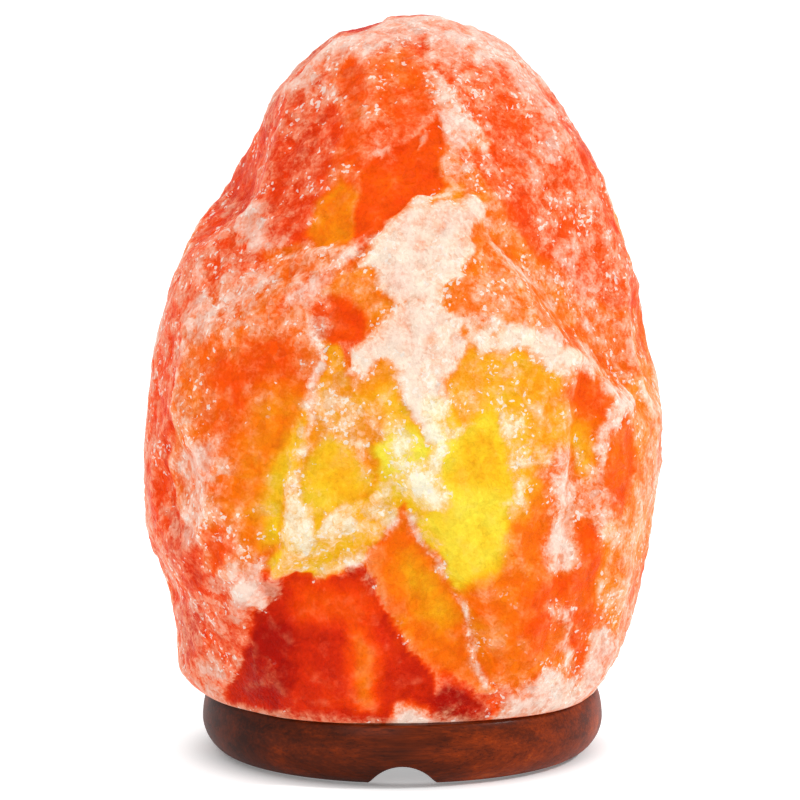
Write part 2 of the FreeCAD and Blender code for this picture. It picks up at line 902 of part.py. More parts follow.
def glass_skin(inset):
    """Steps of the envelope's outline from the neck to the crown, inset from the outer skin."""
    widest, neck = bulb_glass_diameter / 2 - inset, neck_radius - inset
    waist, belly = neck_bottom + bulb_neck_length, glass_top - bulb_glass_diameter / 2
    run, rise = (widest - neck) / 2, (belly - waist) / 2
    turn_point = (neck + run, waist + rise)
    upper_middle = arc_middle(widest, belly, -rise, run)
    lower_middle = (widest + neck - upper_middle[0], waist + belly - upper_middle[1])
    crown = (0, glass_top - inset)
    return [
        (neck, waist),
        (lower_middle, turn_point),
        (upper_middle, (widest, belly)),
        (corner_middle(*crown, widest, belly), crown),
    ]


def bulb_envelope():
    """The blown glass: a round crown drawn in to the neck."""
    outer = lathe((0, neck_bottom), (neck_radius, neck_bottom), *glass_skin(0))
    inner_neck = neck_radius - bulb_glass_wall
    below = neck_bottom - edge_sink
    return outer.cut(lathe((0, below), (inner_neck, below), *glass_skin(bulb_glass_wall)))


def lead_wire():
    """One lead: up through the stem, then out to an end of the filament."""
    radius = lead_wire_diameter / 2
    foot = at(lead_spacing / 2, stem_top - stem_pinch_height - lead_tail_length)
    bend = at(lead_spacing / 2, stem_top)
    end = at(filament_span / 2, filament_level)
    wire = rod_between(foot, bend, radius).fuse([Part.makeSphere(radius, bend), rod_between(bend, end, radius)])
    return wire.removeSplitter().Solids[0]


def support_wire():
    """A fine wire from the top of the stem to the underside of the filament."""
    start = Vector(0, lead_spacing / 4, stem_top)
    arc_level = filament_arc().valueAt(0).z
    rise = filament_bow * (1 - (support_spread / filament_span) ** 2)
    end = Vector(support_spread / 2, 0, arc_level + rise - filament_diameter)
    return rod_between(start, end, support_wire_diameter / 2)


def filament_arc():
    half, gap = filament_span / 2, lead_wire_diameter / 2 + press_gap
    level = filament_level + gap
    return Part.Arc(at(-half, level), at(0, level + filament_bow), at(half, level)).toShape()


def filament():
    arc = filament_arc()
    start, tangent = arc.valueAt(arc.FirstParameter), arc.tangentAt(arc.FirstParameter)
    section = Part.Wire(Part.makeCircle(filament_diameter / 2, start, tangent))
    return Part.Wire(arc).makePipeShell([section], True, False).Solids[0]


def glass_stem():
    """The flared tube that closes the neck, pinched shut round the leads at its top."""
    flare, tube = neck_radius - bulb_glass_wall - press_gap, stem_diameter / 2
    hollow = tube - stem_wall
    waist = neck_bottom + stem_flare_height
    pinch = stem_top - stem_pinch_height
    solid = lathe(
        (flare - stem_wall, neck_bottom),
        (flare, neck_bottom),
        (tube, waist),
        (tube, stem_top),
        (0, stem_top),
        (0, pinch),
        (hollow, pinch),
        (hollow, waist),
    )
    return solid.cut(around(lead_wire(), 2)).Solids[0]


save("cap_contact", cap_contact())
save("cap_insulator", cap_insulator())
save("bulb_cap", bulb_cap())
save("bulb_envelope", bulb_envelope())
save("glass_stem", glass_stem())
save_each("lead_wire", around(lead_wire(), 2))
save("filament", filament())
save("filament_supports", *around(support_wire(), 2))
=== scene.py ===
import math

import bmesh
import bpy
import numpy as np
from mathutils import Matrix, Vector, noise


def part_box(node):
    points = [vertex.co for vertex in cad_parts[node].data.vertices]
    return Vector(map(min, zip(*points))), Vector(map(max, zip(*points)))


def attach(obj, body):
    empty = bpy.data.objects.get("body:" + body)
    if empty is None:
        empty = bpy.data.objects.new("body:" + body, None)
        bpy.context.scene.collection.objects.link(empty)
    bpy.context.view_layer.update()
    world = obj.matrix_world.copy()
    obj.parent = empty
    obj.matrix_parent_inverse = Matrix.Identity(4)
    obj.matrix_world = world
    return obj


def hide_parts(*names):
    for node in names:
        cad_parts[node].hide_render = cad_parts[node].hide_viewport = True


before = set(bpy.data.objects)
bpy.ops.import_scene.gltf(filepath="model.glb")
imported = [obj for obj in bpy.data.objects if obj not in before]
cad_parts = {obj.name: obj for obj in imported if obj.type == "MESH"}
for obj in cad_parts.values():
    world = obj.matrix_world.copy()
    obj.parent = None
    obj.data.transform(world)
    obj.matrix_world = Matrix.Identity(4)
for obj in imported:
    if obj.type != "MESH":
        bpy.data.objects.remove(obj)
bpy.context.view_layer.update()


# ---- Camera ---------------------------------------------------------------------------------
# The lamp is seen as in a shop photograph: level with the middle of the block, from one and a
# half metres away and a little above, through a long lens, so that upright lines stay upright.

view_distance = 1.5
view_drop = math.radians(8.0)
aim_point = Vector((-0.00075, 0.0, 0.1100))
lens_length = 217.3
sensor_width = 36.0

gaze = Vector((0.0, math.cos(view_drop), -math.sin(view_drop)))
camera = bpy.data.objects.new("camera", bpy.data.cameras.new("camera"))
camera.data.lens = lens_length
camera.data.sensor_width = sensor_width
camera.data.clip_end = 50.0
camera.location = aim_point - gaze * view_distance
camera.rotation_euler = (math.pi / 2 - view_drop, 0.0, 0.0)
bpy.context.scene.collection.objects.link(camera)
bpy.context.scene.camera = camera
bpy.context.scene.view_settings.view_transform = "Standard"


# ---- Salt block -----------------------------------------------------------------------------
# The real piece is a lump of rock salt, split from the seam and left rough, then bored out from
# below for the bulb. Lit from inside, it glows yellow where it is thin and clear and red where it
# is thick or stained, under a frosted crust of white salt that lies thickest along the edges.

voxel_size = 0.00135
softening_steps = 4
bore_radius = 0.026
bore_top = 0.1276
drilled_margin = 0.0016
weathering_starts = 0.0006          # above the seat, which stays flat
weathering_full = 0.005

# Its front was drawn from the photograph, in millimetres on an upright plane through the middle
# of the lamp: across to the right, and up from the point that the camera aims at.

# Warmth of the glow, from 0, dark red, to 1, pale yellow, how far the mark reaches, and its line.
WARMTH = (
    (0.16, 14, ((-44, 63), (-32, 88))),  # left flank of the head
    (0.27, 11, ((-22, 103), (2, 104))),  # top of the head
    (0.4, 9, ((5, 76), (-1, 88))),  # face of the head
    (0.46, 9, ((-13, 73), (-3, 48))),  # lens under it
    (0.64, 5, ((-22, 53), (-16, 58))),  # spot in the lens
    (0.72, 7, ((12, 66), (19, 62))),  # spot at the ledge
    (0.3, 13, ((32, 97), (49, 73), (61, 50))),  # right flank of the head
    (0.18, 8, ((-73, 23), (-78, -17), (-73, -52))),  # left edge of the block
    (0.33, 10, ((-58, 45), (-66, 29))),  # left shoulder
    (0.5, 12, ((-47, 17), (-35, 29))),  # left lobe, top
    (0.57, 13, ((-50, -2), (-47, -24))),  # left lobe
    (0.86, 5.5, ((-36, -14), (-35, -45))),  # left lobe, yellow band
    (0.33, 9, ((-18, 32), (-16, 20))),  # red patch
    (0.55, 13, ((5, 48), (2, 20))),  # big frosted mass
    (0.74, 11, ((-1, 1), (15, 7))),  # over the core
    (0.5, 10, ((30, 51), (43, 35))),  # right of the mass
    (0.95, 10, ((24, -17), (25, -52))),  # core
    (0.96, 7, ((1, -14), (7, -17))),  # core, left of the tail
    (0.89, 10, ((-21, -24), (-13, -33))),  # core, in the hollow
    (0.87, 8, ((-26, -45), (-3, -45))),  # pale lens
    (0.7, 7, ((12, -59), (16, -52))),  # below the core
    (0.54, 7.5, ((-1, -52), (5, -70), (12, -89))),  # wedge
    (0.02, 11, ((-47, -86), (-38, -73))),  # red face
    (0.1, 9, ((-32, -92), (-4, -95))),  # red face, low
    (0.36, 7, ((-30, -66), (-22, -70))),  # red face, lit
    (0.52, 4.5, ((-16, -67), (-11, -92))),  # red face, streak
    (0.02, 6.5, ((14, -95), (27, -95))),  # low dark patch
    (0.27, 10, ((-61, -67), (-59, -86))),  # low lobe
    (0.4, 5, ((-56, -68), (-54, -76))),  # low lobe, heart
    (0.33, 6, ((-59, -43), (-54, -50))),  # patch over the low lobe
    (0.73, 11, ((44, -2), (40, -33))),  # right of the core
    (0.58, 12, ((40, -64), (49, -52))),  # low right
    (0.46, 12, ((40, -92), (61, -80))),  # low right face
    (0.46, 10, ((61, 29), (49, 51))),  # right flank
    (0.41, 5.5, ((68, -5), (69, -22))),  # right red face
    (0.55, 8, ((77, 11), (78, -14))),  # right edge
    (0.5, 9, ((75, -52), (71, -67))),  # right edge, low
)

# Drifts of frost: how white they are, half their width, and the line that they follow.
DRIFTS = (
    (0.85, 5, ((-37, 98), (-22, 108), (-7, 114), (12, 116), (30, 108), (48, 89))),  # crown band
    (0.6, 4, ((-41, 88), (-32, 102))),  # crown left flank
    (0.65, 3, ((-28, 98), (-18, 94))),  # patch under the crown
    (0.8, 3.5, ((9, 104), (13, 88), (23, 73))),  # ridge of the head
    (0.6, 7, ((16, 90), (27, 76))),  # right of the ridge
    (0.5, 3, ((43, 90), (52, 79))),  # right flank
    (0.85, 5, ((-51, 59), (-46, 56), (-41, 49))),  # shoulder
    (0.6, 8, ((-56, 32), (-44, 38), (-26, 41))),  # under the left ledge
    (0.85, 5, ((53, 48), (58, 38), (58, 27))),  # right shoulder patch
    (0.8, 4.2, ((21, 25), (40, 20), (58, 11))),  # band across the right
    (1, 4.5, ((44, 19), (53, 10))),  # brightest part of the band
    (0.95, 4.8, ((-65, -15), (-62, -27), (-65, -40))),  # left patch
    (0.9, 3.4, ((-35, -32), (-30, -47))),  # foot of that edge
    (0.8, 3.4, ((-20, -39), (-16, -39))),  # fleck in the hollow
    (0.85, 4, ((-6, -38), (-2, -40))),  # fleck by the peak
    (1, 6, ((-52, -56), (-47, -61), (-41, -65))),  # patch over the low lobe
    (0.95, 4, ((2, -93), (9, -102))),  # low white face
    (0.78, 8, ((35, -93), (49, -89), (64, -80))),  # low right face
    (0.9, 4.4, ((49, -18), (51, -35), (49, -52))),  # right face, upper
    (0.8, 5, ((61, -28), (63, -39))),  # right face, outer
    (0.45, 9, ((30, 94), (44, 76), (57, 56))),  # grain of the right flank
    (0.3, 6, ((-36, 88), (-44, 66))),  # grain of the left flank
)

# Broken faces, each laid over the ones before: the warmth of its glow, its frost, how far it
# stands out, the width of its edge, and its outline.
FACES = (
    (0.32, 0.34, -0.5, 3, ((-50, 61), (-44, 56), (-50, 46), (-53, 39), (-58, 33), (-62, 30), (-66, 24), (-68, 18), (-69, 10), (-72, -2), (-73, -12), (-71, -24), (-69, -33), (-72, -48), (-65, -62), (-72, -64), (-88, -45), (-88, -2), (-78, 35), (-66, 51))),  # left side of the block
    (0.27, 0.24, 0, 2.5, ((-51, 63), (-45, 79), (-37, 94), (-31, 97), (-25, 94), (-21, 92), (-18, 88), (-22, 76), (-25, 68), (-28, 59), (-33, 50), (-41, 54), (-43, 61))),  # left flank of the head
    (0.42, 0.16, 0.5, 2, ((-21, 92), (-25, 100), (-21, 105), (-16, 109), (-10, 107), (0, 110), (9, 108), (12, 97), (14, 90), (15, 84), (13, 88), (8, 84), (-1, 79), (-7, 75), (-10, 71), (-16, 68), (-21, 70), (-18, 88))),  # front of the head
    (0.38, 0.34, 0, 2, ((17, 95), (15, 101), (21, 104), (33, 103), (45, 92), (54, 82), (62, 70), (68, 56), (71, 41), (74, 29), (65, 29), (54, 38), (45, 45), (40, 50), (34, 59), (29, 65), (24, 70), (19, 76), (27, 77), (29, 79), (26, 82), (24, 86), (18, 91))),  # right of the head
    (0.38, -0.1, -1.2, 0.8, ((-10, 71), (-7, 75), (-1, 79), (8, 84), (13, 88), (14, 76), (14, 65), (12, 64), (5, 63), (1, 59), (-3, 56), (-9, 50), (-13, 47), (-15, 52), (-15, 60), (-13, 65))),  # lens
    (0.58, 0, -0.9, 1.5, ((-26, 62), (-18, 68), (-13, 65), (-15, 60), (-15, 52), (-13, 47), (-19, 46), (-26, 46), (-29, 52))),  # spot beside the lens
    (0.5, 0.34, 0.3, 2, ((14, 88), (16, 84), (19, 79), (19, 75), (24, 70), (29, 64), (22, 64), (18, 60), (12, 61), (12, 64), (14, 66), (14, 76))),  # strip beside the lens
    (0.68, 0.1, 0, 1.5, ((5, 61), (12, 65), (19, 67), (20, 64), (18, 60), (13, 61), (9, 61))),  # spot on the ledge
    (0.52, 0.28, 0.8, 1.2, ((-66, 24), (-62, 30), (-58, 32), (-52, 37), (-44, 32), (-39, 38), (-32, 40), (-26, 34), (-26, 28), (-24, 21), (-24, 14), (-24, 1), (-27, -1), (-29, -14), (-31, -22), (-33, -27), (-36, -32), (-36, -44), (-38, -48), (-48, -54), (-54, -55), (-61, -52), (-64, -42), (-69, -33), (-71, -17), (-72, -2), (-69, 10), (-68, 18))),  # left lobe
    (0.44, 0.05, 0, 6, ((-61, 14), (-50, 18), (-32, 20), (-28, 15), (-32, 7), (-44, 4), (-45, -5), (-55, -14), (-61, -5))),  # red heart of the left lobe
    (0.6, 0, 0, 6, ((-45, 3), (-32, 6), (-27, 2), (-29, -14), (-33, -27), (-36, -33), (-36, -44), (-44, -47), (-50, -39), (-53, -27), (-50, -11))),  # lit side of the left lobe
    (0.84, 0.3, 0, 3.5, ((-44, -33), (-38, -19), (-30, -3), (-29, -14), (-33, -27), (-36, -33), (-36, -44), (-42, -45))),  # yellow edge of the left lobe
    (0.36, 0.05, 0, 3, ((-61, -41), (-56, -38), (-53, -43), (-52, -48), (-55, -52), (-59, -52), (-61, -48))),  # red spot of the left lobe
    (0.7, 0.42, -0.6, 1.2, ((-24, 21), (-18, 17), (-18, 8), (-16, 4), (-9, 1), (-6, -8), (-6, -19), (-8, -30), (-16, -31), (-23, -36), (-27, -43), (-29, -35), (-32, -30), (-31, -22), (-29, -14), (-27, -1), (-24, 11))),  # middle
    (0.8, 0.04, -0.6, 1.5, ((-29, -16), (-22, -11), (-16, -14), (-9, -24), (-9, -29), (-16, -31), (-23, -36), (-27, -43), (-29, -35), (-32, -30), (-31, -22))),  # amber below the middle
    (0.6, 0.92, 1, 1, ((-14, 42), (-8, 50), (-1, 56), (5, 61), (10, 61), (18, 60), (22, 63), (28, 61), (25, 56), (22, 53), (23, 45), (19, 38), (14, 35), (14, 30), (19, 25), (22, 18), (19, 13), (15, 6), (14, -2), (11, -10), (7, -14), (5, -7), (-1, 4), (-5, 13), (-13, 7), (-18, 8), (-15, 15), (-10, 20), (-4, 26), (-2, 30), (-7, 34), (-9, 41))),  # big frosted mass
    (0.66, 0.2, 0, 2, ((-7, 11), (-3, 13), (0, 10), (-2, 6), (-6, 6))),  # clear spot in the mass
    (0.6, 0.25, 0, 2, ((-26, 34), (-19, 41), (-14, 42), (-9, 41), (-7, 34), (-2, 30), (-4, 26), (-10, 24), (-11, 29), (-18, 33), (-23, 31))),  # left of the mass
    (0.38, -0.1, -0.8, 0.8, ((-27, 28), (-23, 32), (-18, 33), (-11, 27), (-10, 24), (-11, 21), (-15, 19), (-21, 18), (-25, 20))),  # red patch
    (0.5, 0.78, 0.7, 1, ((9, 104), (13, 100), (17, 95), (18, 91), (24, 86), (26, 82), (29, 79), (27, 77), (22, 77), (19, 79), (15, 85), (14, 90), (11, 97))),  # ridge of the head
    (0.55, 0.32, 0, 1, ((24, 55), (30, 59), (37, 52), (44, 42), (51, 34), (57, 25), (52, 22), (40, 22), (34, 24), (27, 24), (20, 25), (14, 30), (14, 35), (19, 38), (23, 42), (23, 49))),  # under the right ledge
    (0.48, 0.36, 0, 1.5, ((51, 34), (61, 29), (74, 28), (78, 15), (74, 7), (69, 3), (65, 7), (60, 11), (57, 20))),  # right of the ledge
    (0.64, 0.86, 0.5, 1.2, ((20, 25), (27, 24), (34, 24), (43, 21), (52, 17), (60, 12), (62, 7), (57, 6), (49, 8), (43, 10), (37, 14), (30, 15), (24, 15), (21, 18))),  # band
    (0.62, 1.05, 0, 2, ((43, 20), (49, 18), (53, 14), (52, 10), (48, 9), (44, 13))),  # brightest of the band
    (0.73, 0.26, 0, 2, ((21, 17), (30, 15), (37, 13), (43, 9), (53, 7), (54, -3), (49, -14), (43, -24), (40, -17), (40, -5), (32, -3), (27, -2), (18, -8), (15, -2), (16, 7))),  # below the band
    (0.45, 0.06, 0, 4, ((53, 9), (59, 10), (61, 6), (64, 2), (64, -1), (63, -5), (60, -7), (54, -5), (50, 1))),  # red below the band
    (0.92, 0, -0.4, 1.2, ((15, -16), (20, -10), (27, -4), (32, -10), (34, -24), (34, -31), (33, -39), (32, -50), (27, -61), (22, -66), (19, -60), (15, -54), (11, -47), (5, -38), (8, -35), (13, -35), (15, -34), (14, -22))),  # core
    (0.8, 0, 0, 4, ((17, -16), (21, -11), (30, -7), (33, -17), (33, -27), (21, -30), (16, -25))),  # top of the core
    (0.8, 0.7, 0.3, 1, ((29, -3), (33, -3), (40, -5), (39, -11), (40, -17), (39, -24), (38, -30), (37, -34), (34, -33), (34, -24), (33, -16), (31, -10))),  # pale streak by the core
    (0.9, 0.78, 0.4, 1.5, ((8, 1), (15, 1), (19, -8), (14, -13), (14, -18), (14, -26), (15, -33), (13, -35), (7, -34), (1, -29), (-5, -32), (-9, -31), (-7, -25), (-3, -24), (2, -22), (6, -19), (8, -14), (7, -7))),  # tail of the mass
    (1, 0.02, 0, 1.5, ((-4, -11), (2, -11), (6, -12), (7, -18), (2, -22), (-4, -21), (-7, -17))),  # yellow beside the tail
    (0.54, 0.08, 0, 4, ((16, -61), (30, -53), (37, -36), (49, -17), (58, -27), (61, -52), (61, -76), (52, -85), (40, -92), (32, -92), (26, -84), (22, -75), (21, -66))),  # below the core
    (0.42, 0, 0, 5, ((38, -61), (44, -55), (51, -58), (53, -67), (47, -72), (41, -80), (37, -73))),  # red below the core
    (0.8, 0.38, 0.4, 1, ((-16, -31), (-11, -31), (-6, -32), (0, -31), (-1, -37), (-4, -42), (-9, -46), (-13, -52), (-16, -53), (-20, -55), (-23, -57), (-26, -57), (-28, -55), (-32, -54), (-35, -55), (-41, -56), (-39, -50), (-32, -48), (-27, -47), (-27, -43), (-23, -36))),  # pale lens
    (0.85, 0.9, 0, 1.5, ((-19, -35), (-16, -35), (-14, -38), (-16, -40), (-18, -39))),  # white flecks of the lens
    (0.8, 0.9, 0, 0.8, ((-4, -39), (-1, -37), (0, -39), (-2, -42), (-5, -44))),  # white tip of the lens
    (0.54, 0.02, 0.8, 0.6, ((0, -32), (2, -34), (5, -38), (8, -43), (11, -47), (14, -51), (15, -54), (19, -61), (21, -66), (22, -75), (26, -84), (32, -92), (24, -91), (16, -86), (9, -83), (3, -78), (-2, -69), (-8, -61), (-10, -56), (-13, -52), (-9, -46), (-4, -42), (-1, -37))),  # wedge
    (0.7, -0.05, 0, 5, ((1, -45), (6, -45), (14, -58), (18, -69), (12, -72), (4, -64), (-1, -55))),  # heart of the wedge
    (0.14, -0.1, -1.2, 0.8, ((-13, -52), (-10, -57), (-8, -61), (-2, -69), (3, -78), (9, -83), (12, -92), (11, -99), (-22, -100), (-38, -97), (-56, -94), (-50, -81), (-44, -68), (-41, -64), (-36, -57), (-32, -54), (-28, -55), (-26, -57), (-23, -57), (-20, -55), (-16, -53))),  # red face
    (0, 0.05, 0, 4, ((-46, -72), (-41, -66), (-35, -68), (-32, -76), (-32, -89), (-38, -95), (-50, -92), (-49, -81))),  # dark of the red face
    (0.37, -0.05, 0, 5, ((-34, -58), (-18, -57), (-13, -58), (-8, -65), (-13, -70), (-22, -70), (-32, -68))),  # lit top of the red face
    (0.47, -0.05, 0, 3.5, ((-16, -69), (-10, -70), (-6, -80), (-8, -97), (-13, -97), (-16, -83))),  # streak of the red face
    (0.33, 0.1, 0, 1.5, ((16, -87), (24, -92), (32, -92), (35, -93), (30, -99), (21, -100), (12, -99), (12, -92))),  # foot of the wedge
    (0.04, 0.12, -0.4, 1.5, ((14, -90), (21, -92), (27, -95), (27, -99), (20, -101), (12, -99), (10, -94))),  # dark foot
    (0.5, 1, 0.3, 1.2, ((-2, -95), (3, -93), (9, -95), (10, -100), (7, -102), (-1, -102))),  # white foot
    (0.3, 0.3, 0.4, 1, ((-61, -61), (-55, -61), (-51, -64), (-45, -65), (-45, -70), (-47, -74), (-50, -81), (-55, -94), (-61, -91), (-64, -83), (-60, -73), (-59, -68))),  # low lobe
    (0.2, 0.42, 0, 1.5, ((-66, -62), (-61, -64), (-59, -68), (-61, -74), (-64, -83), (-66, -88), (-72, -80), (-72, -64))),  # rim of the low lobe
    (0.36, 0.72, 0, 2.5, ((-64, -81), (-59, -80), (-55, -83), (-55, -94), (-61, -93), (-66, -88))),  # foot of the low lobe
    (0.6, 0.44, 0, 2.5, ((69, 3), (74, 7), (78, 15), (86, 11), (89, -24), (86, -52), (77, -76), (67, -76), (63, -64), (62, -50), (63, -39), (68, -35), (71, -27), (72, -14), (71, -5))),  # right side of the block
    (0.44, 0, -0.6, 0.8, ((70, -3), (66, -10), (63, -19), (63, -26), (68, -29), (71, -26), (72, -15), (71, -7))),  # red strip of the right side
    (0.5, 0.66, 0.3, 2, ((49, -16), (52, -15), (53, -21), (58, -28), (63, -25), (66, -27), (67, -34), (63, -39), (57, -39), (55, -47), (54, -51), (52, -54), (47, -52), (44, -46), (46, -39), (45, -31), (44, -24), (47, -20))),  # pale right face
    (0.5, 0.95, 0, 1.5, ((46, -39), (54, -39), (55, -46), (54, -51), (52, -53), (48, -52), (47, -48), (44, -46))),  # white of the right face
    (0.42, 0.02, 0, 1.5, ((55, -39), (63, -39), (62, -50), (60, -57), (61, -68), (60, -72), (58, -78), (56, -85), (53, -84), (54, -73), (51, -66), (48, -61), (49, -55), (52, -54), (55, -51))),  # red strip below it
    (0.5, 0.75, 0.3, 0.8, ((49, -67), (51, -66), (53, -69), (54, -73), (54, -78), (50, -78), (49, -76), (50, -72), (51, -69))),  # low right fleck
    (0.5, 0.88, 0.3, 1.2, ((59, -73), (61, -71), (64, -71), (67, -75), (66, -82), (61, -91), (57, -95), (44, -99), (30, -101), (27, -98), (38, -93), (38, -89), (46, -83), (51, -86), (55, -88), (58, -84), (58, -78))),  # low right
    (0.5, 0.85, 0.8, 0.8, ((61, 7), (65, 7), (69, 3), (72, 0), (70, -3), (66, -10), (64, -16), (62, -20), (59, -16), (60, -10), (64, -5), (67, 0), (64, 3))),  # slanting edge
    (0.45, 0.85, 0.5, 1.2, ((-67, -14), (-59, -14), (-58, -18), (-59, -22), (-59, -27), (-61, -31), (-60, -39), (-63, -40), (-67, -36), (-66, -31), (-67, -26), (-69, -20))),  # left patch
    (0.85, 0.8, 0.4, 1, ((-34, -28), (-32, -30), (-29, -35), (-28, -41), (-27, -46), (-30, -47), (-36, -44), (-37, -36))),  # white of the left lobe
    (0.5, 0.9, 0.4, 1, ((-53, -57), (-48, -54), (-43, -48), (-39, -49), (-41, -52), (-44, -55), (-44, -59), (-41, -63), (-43, -66), (-49, -65), (-53, -62))),  # patch over the low lobe
    (0.45, 0.74, 0.3, 2, ((-62, 30), (-58, 33), (-53, 38), (-46, 41), (-40, 42), (-39, 38), (-44, 33), (-49, 28), (-48, 25), (-54, 24), (-59, 22), (-59, 16), (-63, 20), (-66, 17), (-68, 15), (-67, 20), (-66, 24))),  # top of the left lobe
    (0.45, 0.78, 0.5, 1, ((-38, 29), (-34, 33), (-30, 36), (-24, 38), (-22, 37), (-24, 34), (-27, 32), (-26, 28), (-31, 28), (-36, 26))),  # white of the lobe's top
    (0.38, 0.8, 0.5, 1.5, ((-52, 60), (-47, 63), (-43, 61), (-41, 54), (-38, 48), (-45, 46), (-51, 49))),  # shoulder
    (0.5, 0.28, 0, 1.5, ((-45, 46), (-37, 48), (-32, 49), (-22, 45), (-14, 43), (-19, 40), (-26, 38), (-32, 40), (-39, 38), (-40, 42))),  # ledge over the lobe
    (0.42, 0.78, 0.4, 1.5, ((-37, 95), (-31, 97), (-25, 101), (-21, 106), (-16, 109), (-10, 107), (-5, 108), (0, 111), (9, 114), (9, 104), (15, 101), (21, 104), (32, 104), (37, 101), (49, 88), (43, 107), (24, 121), (-1, 122), (-19, 119), (-35, 107))),  # crown
    (0.35, 0.6, 0, 1.2, ((-31, 95), (-26, 97), (-23, 98), (-21, 95), (-17, 96), (-16, 94), (-21, 93), (-26, 94), (-29, 92))),  # flecks under the crown
    (0.42, 0.58, 0.2, 1, ((-3, 91), (-4, 84), (-4, 77), (-7, 75), (-9, 78), (-8, 83), (-7, 88))),  # streak of the head
    (0.4, 0.6, 0, 0.7, ((5, 81), (9, 84), (11, 84), (8, 81), (6, 79))),  # fleck of the lens
    (0.3, 0.7, 0, 2, ((41, 89), (46, 87), (51, 79), (52, 73), (48, 73), (44, 80))),  # patch of the right flank
    (0.4, 0.6, 0.2, 2, ((52, 49), (57, 50), (61, 45), (63, 34), (60, 32), (56, 40))),  # right shoulder
)

# Hollows of the outline, that the solid's simpler rings pass by: place, reach and depth, metres.
HOLLOWS = (
    ((-0.054, -0.010, 0.174), 0.024, 0.0040),  # between the head and the left shoulder
    ((-0.016, -0.004, 0.229), 0.016, 0.0016),  # left of the crown
)

# Veins of white salt along the broken edges: how white they are, half their width, and the line.
VEINS = (
    (0.6, 2.5, ((-6, 88), (-4, 76))),  # fleck on the head
    (1, 1.6, ((-44, 45), (-32, 44), (-18, 46), (-7, 52), (-1, 56), (5, 61), (21, 65))),  # ledge, left
    (1, 1.6, ((21, 65), (26, 56), (32, 47), (37, 41), (49, 29), (61, 20))),  # ledge, right
    (0.8, 1.6, ((-24, 34), (-26, 20))),  # red patch edge
    (0.8, 2.6, ((0, -8), (2, -32))),  # its tail
    (0.8, 2.2, ((33, 49), (40, 42), (48, 37))),  # streak under the right ledge
    (0.65, 2.6, ((31, -2), (39, -14), (35, -33))),  # pale streak by the core
    (0.75, 2.8, ((-61, 35), (-66, 23), (-69, 11), (-71, -3))),  # rim of the left lobe
    (0.8, 2.2, ((-22, 38), (-25, 20), (-29, -8), (-33, -33), (-32, -52))),  # edge between lobe and middle
    (0.6, 2.6, ((-67, -63), (-69, -76), (-65, -90))),  # rim of the low lobe
    (0.6, 2.4, ((-66, -62), (-47, -66))),  # top of the low lobe
    (0.95, 1.8, ((1, -32), (-7, -42), (-15, -52))),  # peak, left edge
    (0.8, 1.5, ((1, -32), (11, -48), (20, -64), (23, -80), (30, -89))),  # peak, right edge
    (0.55, 1.2, ((-55, -92), (-47, -72), (-41, -64), (-35, -56), (-24, -58), (-15, -52))),  # edge of the red face, left
    (0.6, 1.1, ((-15, -52), (-6, -64), (2, -76))),  # edge of the red face, right
    (0.7, 2, ((-53, -98), (-32, -100), (-1, -101), (24, -100), (49, -96))),  # foot of the block
    (0.95, 2, ((71, 2), (65, -9), (60, -19))),  # slanting edge at the right
    (0.8, 2.8, ((51, -66), (52, -80))),  # low right fleck
    (0.6, 2.4, ((77, -14), (74, -39), (68, -64))),  # right rim
    (0.6, 2, ((66, -52), (61, -76))),  # right rim, inner
)


def add(tree, kind, *inputs, settings=None, **sockets):
    """Adds a node. Inputs fill its sockets in order, and sockets by name, with values or links."""
    node = tree.nodes.new(kind)
    for name, value in (settings or {}).items():
        setattr(node, name, value)
    named = [(node.inputs[name.replace("_", " ")], value) for name, value in sockets.items()]
    for socket, value in [*zip(node.inputs, inputs), *named]:
        if isinstance(value, bpy.types.NodeSocket):
            tree.links.new(value, socket)
        elif value is not None:
            socket.default_value = value
    return node


def sum_of(tree, operation, *inputs):
    """A Math node's result."""
    return add(tree, "ShaderNodeMath", *inputs, settings={"operation": operation}).outputs[0]


def srgb(red, green, blue):
    """A colour as it is read off a screen, from 0 to 255, in the linear values of a shader."""
    shares = [value / 255 for value in (red, green, blue)]
    return [*(s / 12.92 if s < 0.04045 else ((s + 0.055) / 1.055) ** 2.4 for s in shares), 1.0]


def new_piece(name, mesh):
    piece = bpy.data.objects.new(name, mesh)
    bpy.context.scene.collection.objects.link(piece)
    return piece


def plain_mesh(piece):
    """Turns what the piece's modifiers make into its own mesh, and removes them."""
    shape = piece.evaluated_get(bpy.context.evaluated_depsgraph_get())
    piece.data = bpy.data.meshes.new_from_object(shape)
    piece.modifiers.clear()
    return piece


def merged_copy(node, name):
    """A copy of a solid's mesh with its loose triangles joined."""
    shape = bmesh.new()
    shape.from_mesh(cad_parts[node].data)
    bmesh.ops.remove_doubles(shape, verts=shape.verts, dist=1e-6)
    mesh = bpy.data.meshes.new(name)
    shape.to_mesh(mesh)
    shape.free()
    return new_piece(name, mesh)


def vectors(items, attribute, count):
    values = np.empty(count * 3, np.float32)
    items.foreach_get(attribute, values)
    return values.reshape(-1, 3).astype(float)


def points_of(mesh):
    return vectors(mesh.vertices, "co", len(mesh.vertices))


def normals_of(mesh):
    return vectors(mesh.vertex_normals, "vector", len(mesh.vertices))


def set_points(mesh, places):
    mesh.vertices.foreach_set("co", places.astype(np.float32).ravel())
    mesh.update()


def set_attribute(mesh, name, values):
    attribute = mesh.attributes.get(name) or mesh.attributes.new(name, "FLOAT", "POINT")
    attribute.data.foreach_set("value", values.astype(np.float32))


def smooth_step(value, low, high):
    share = np.clip((value - low) / (high - low), 0.0, 1.0)
    return share * share * (3 - 2 * share)


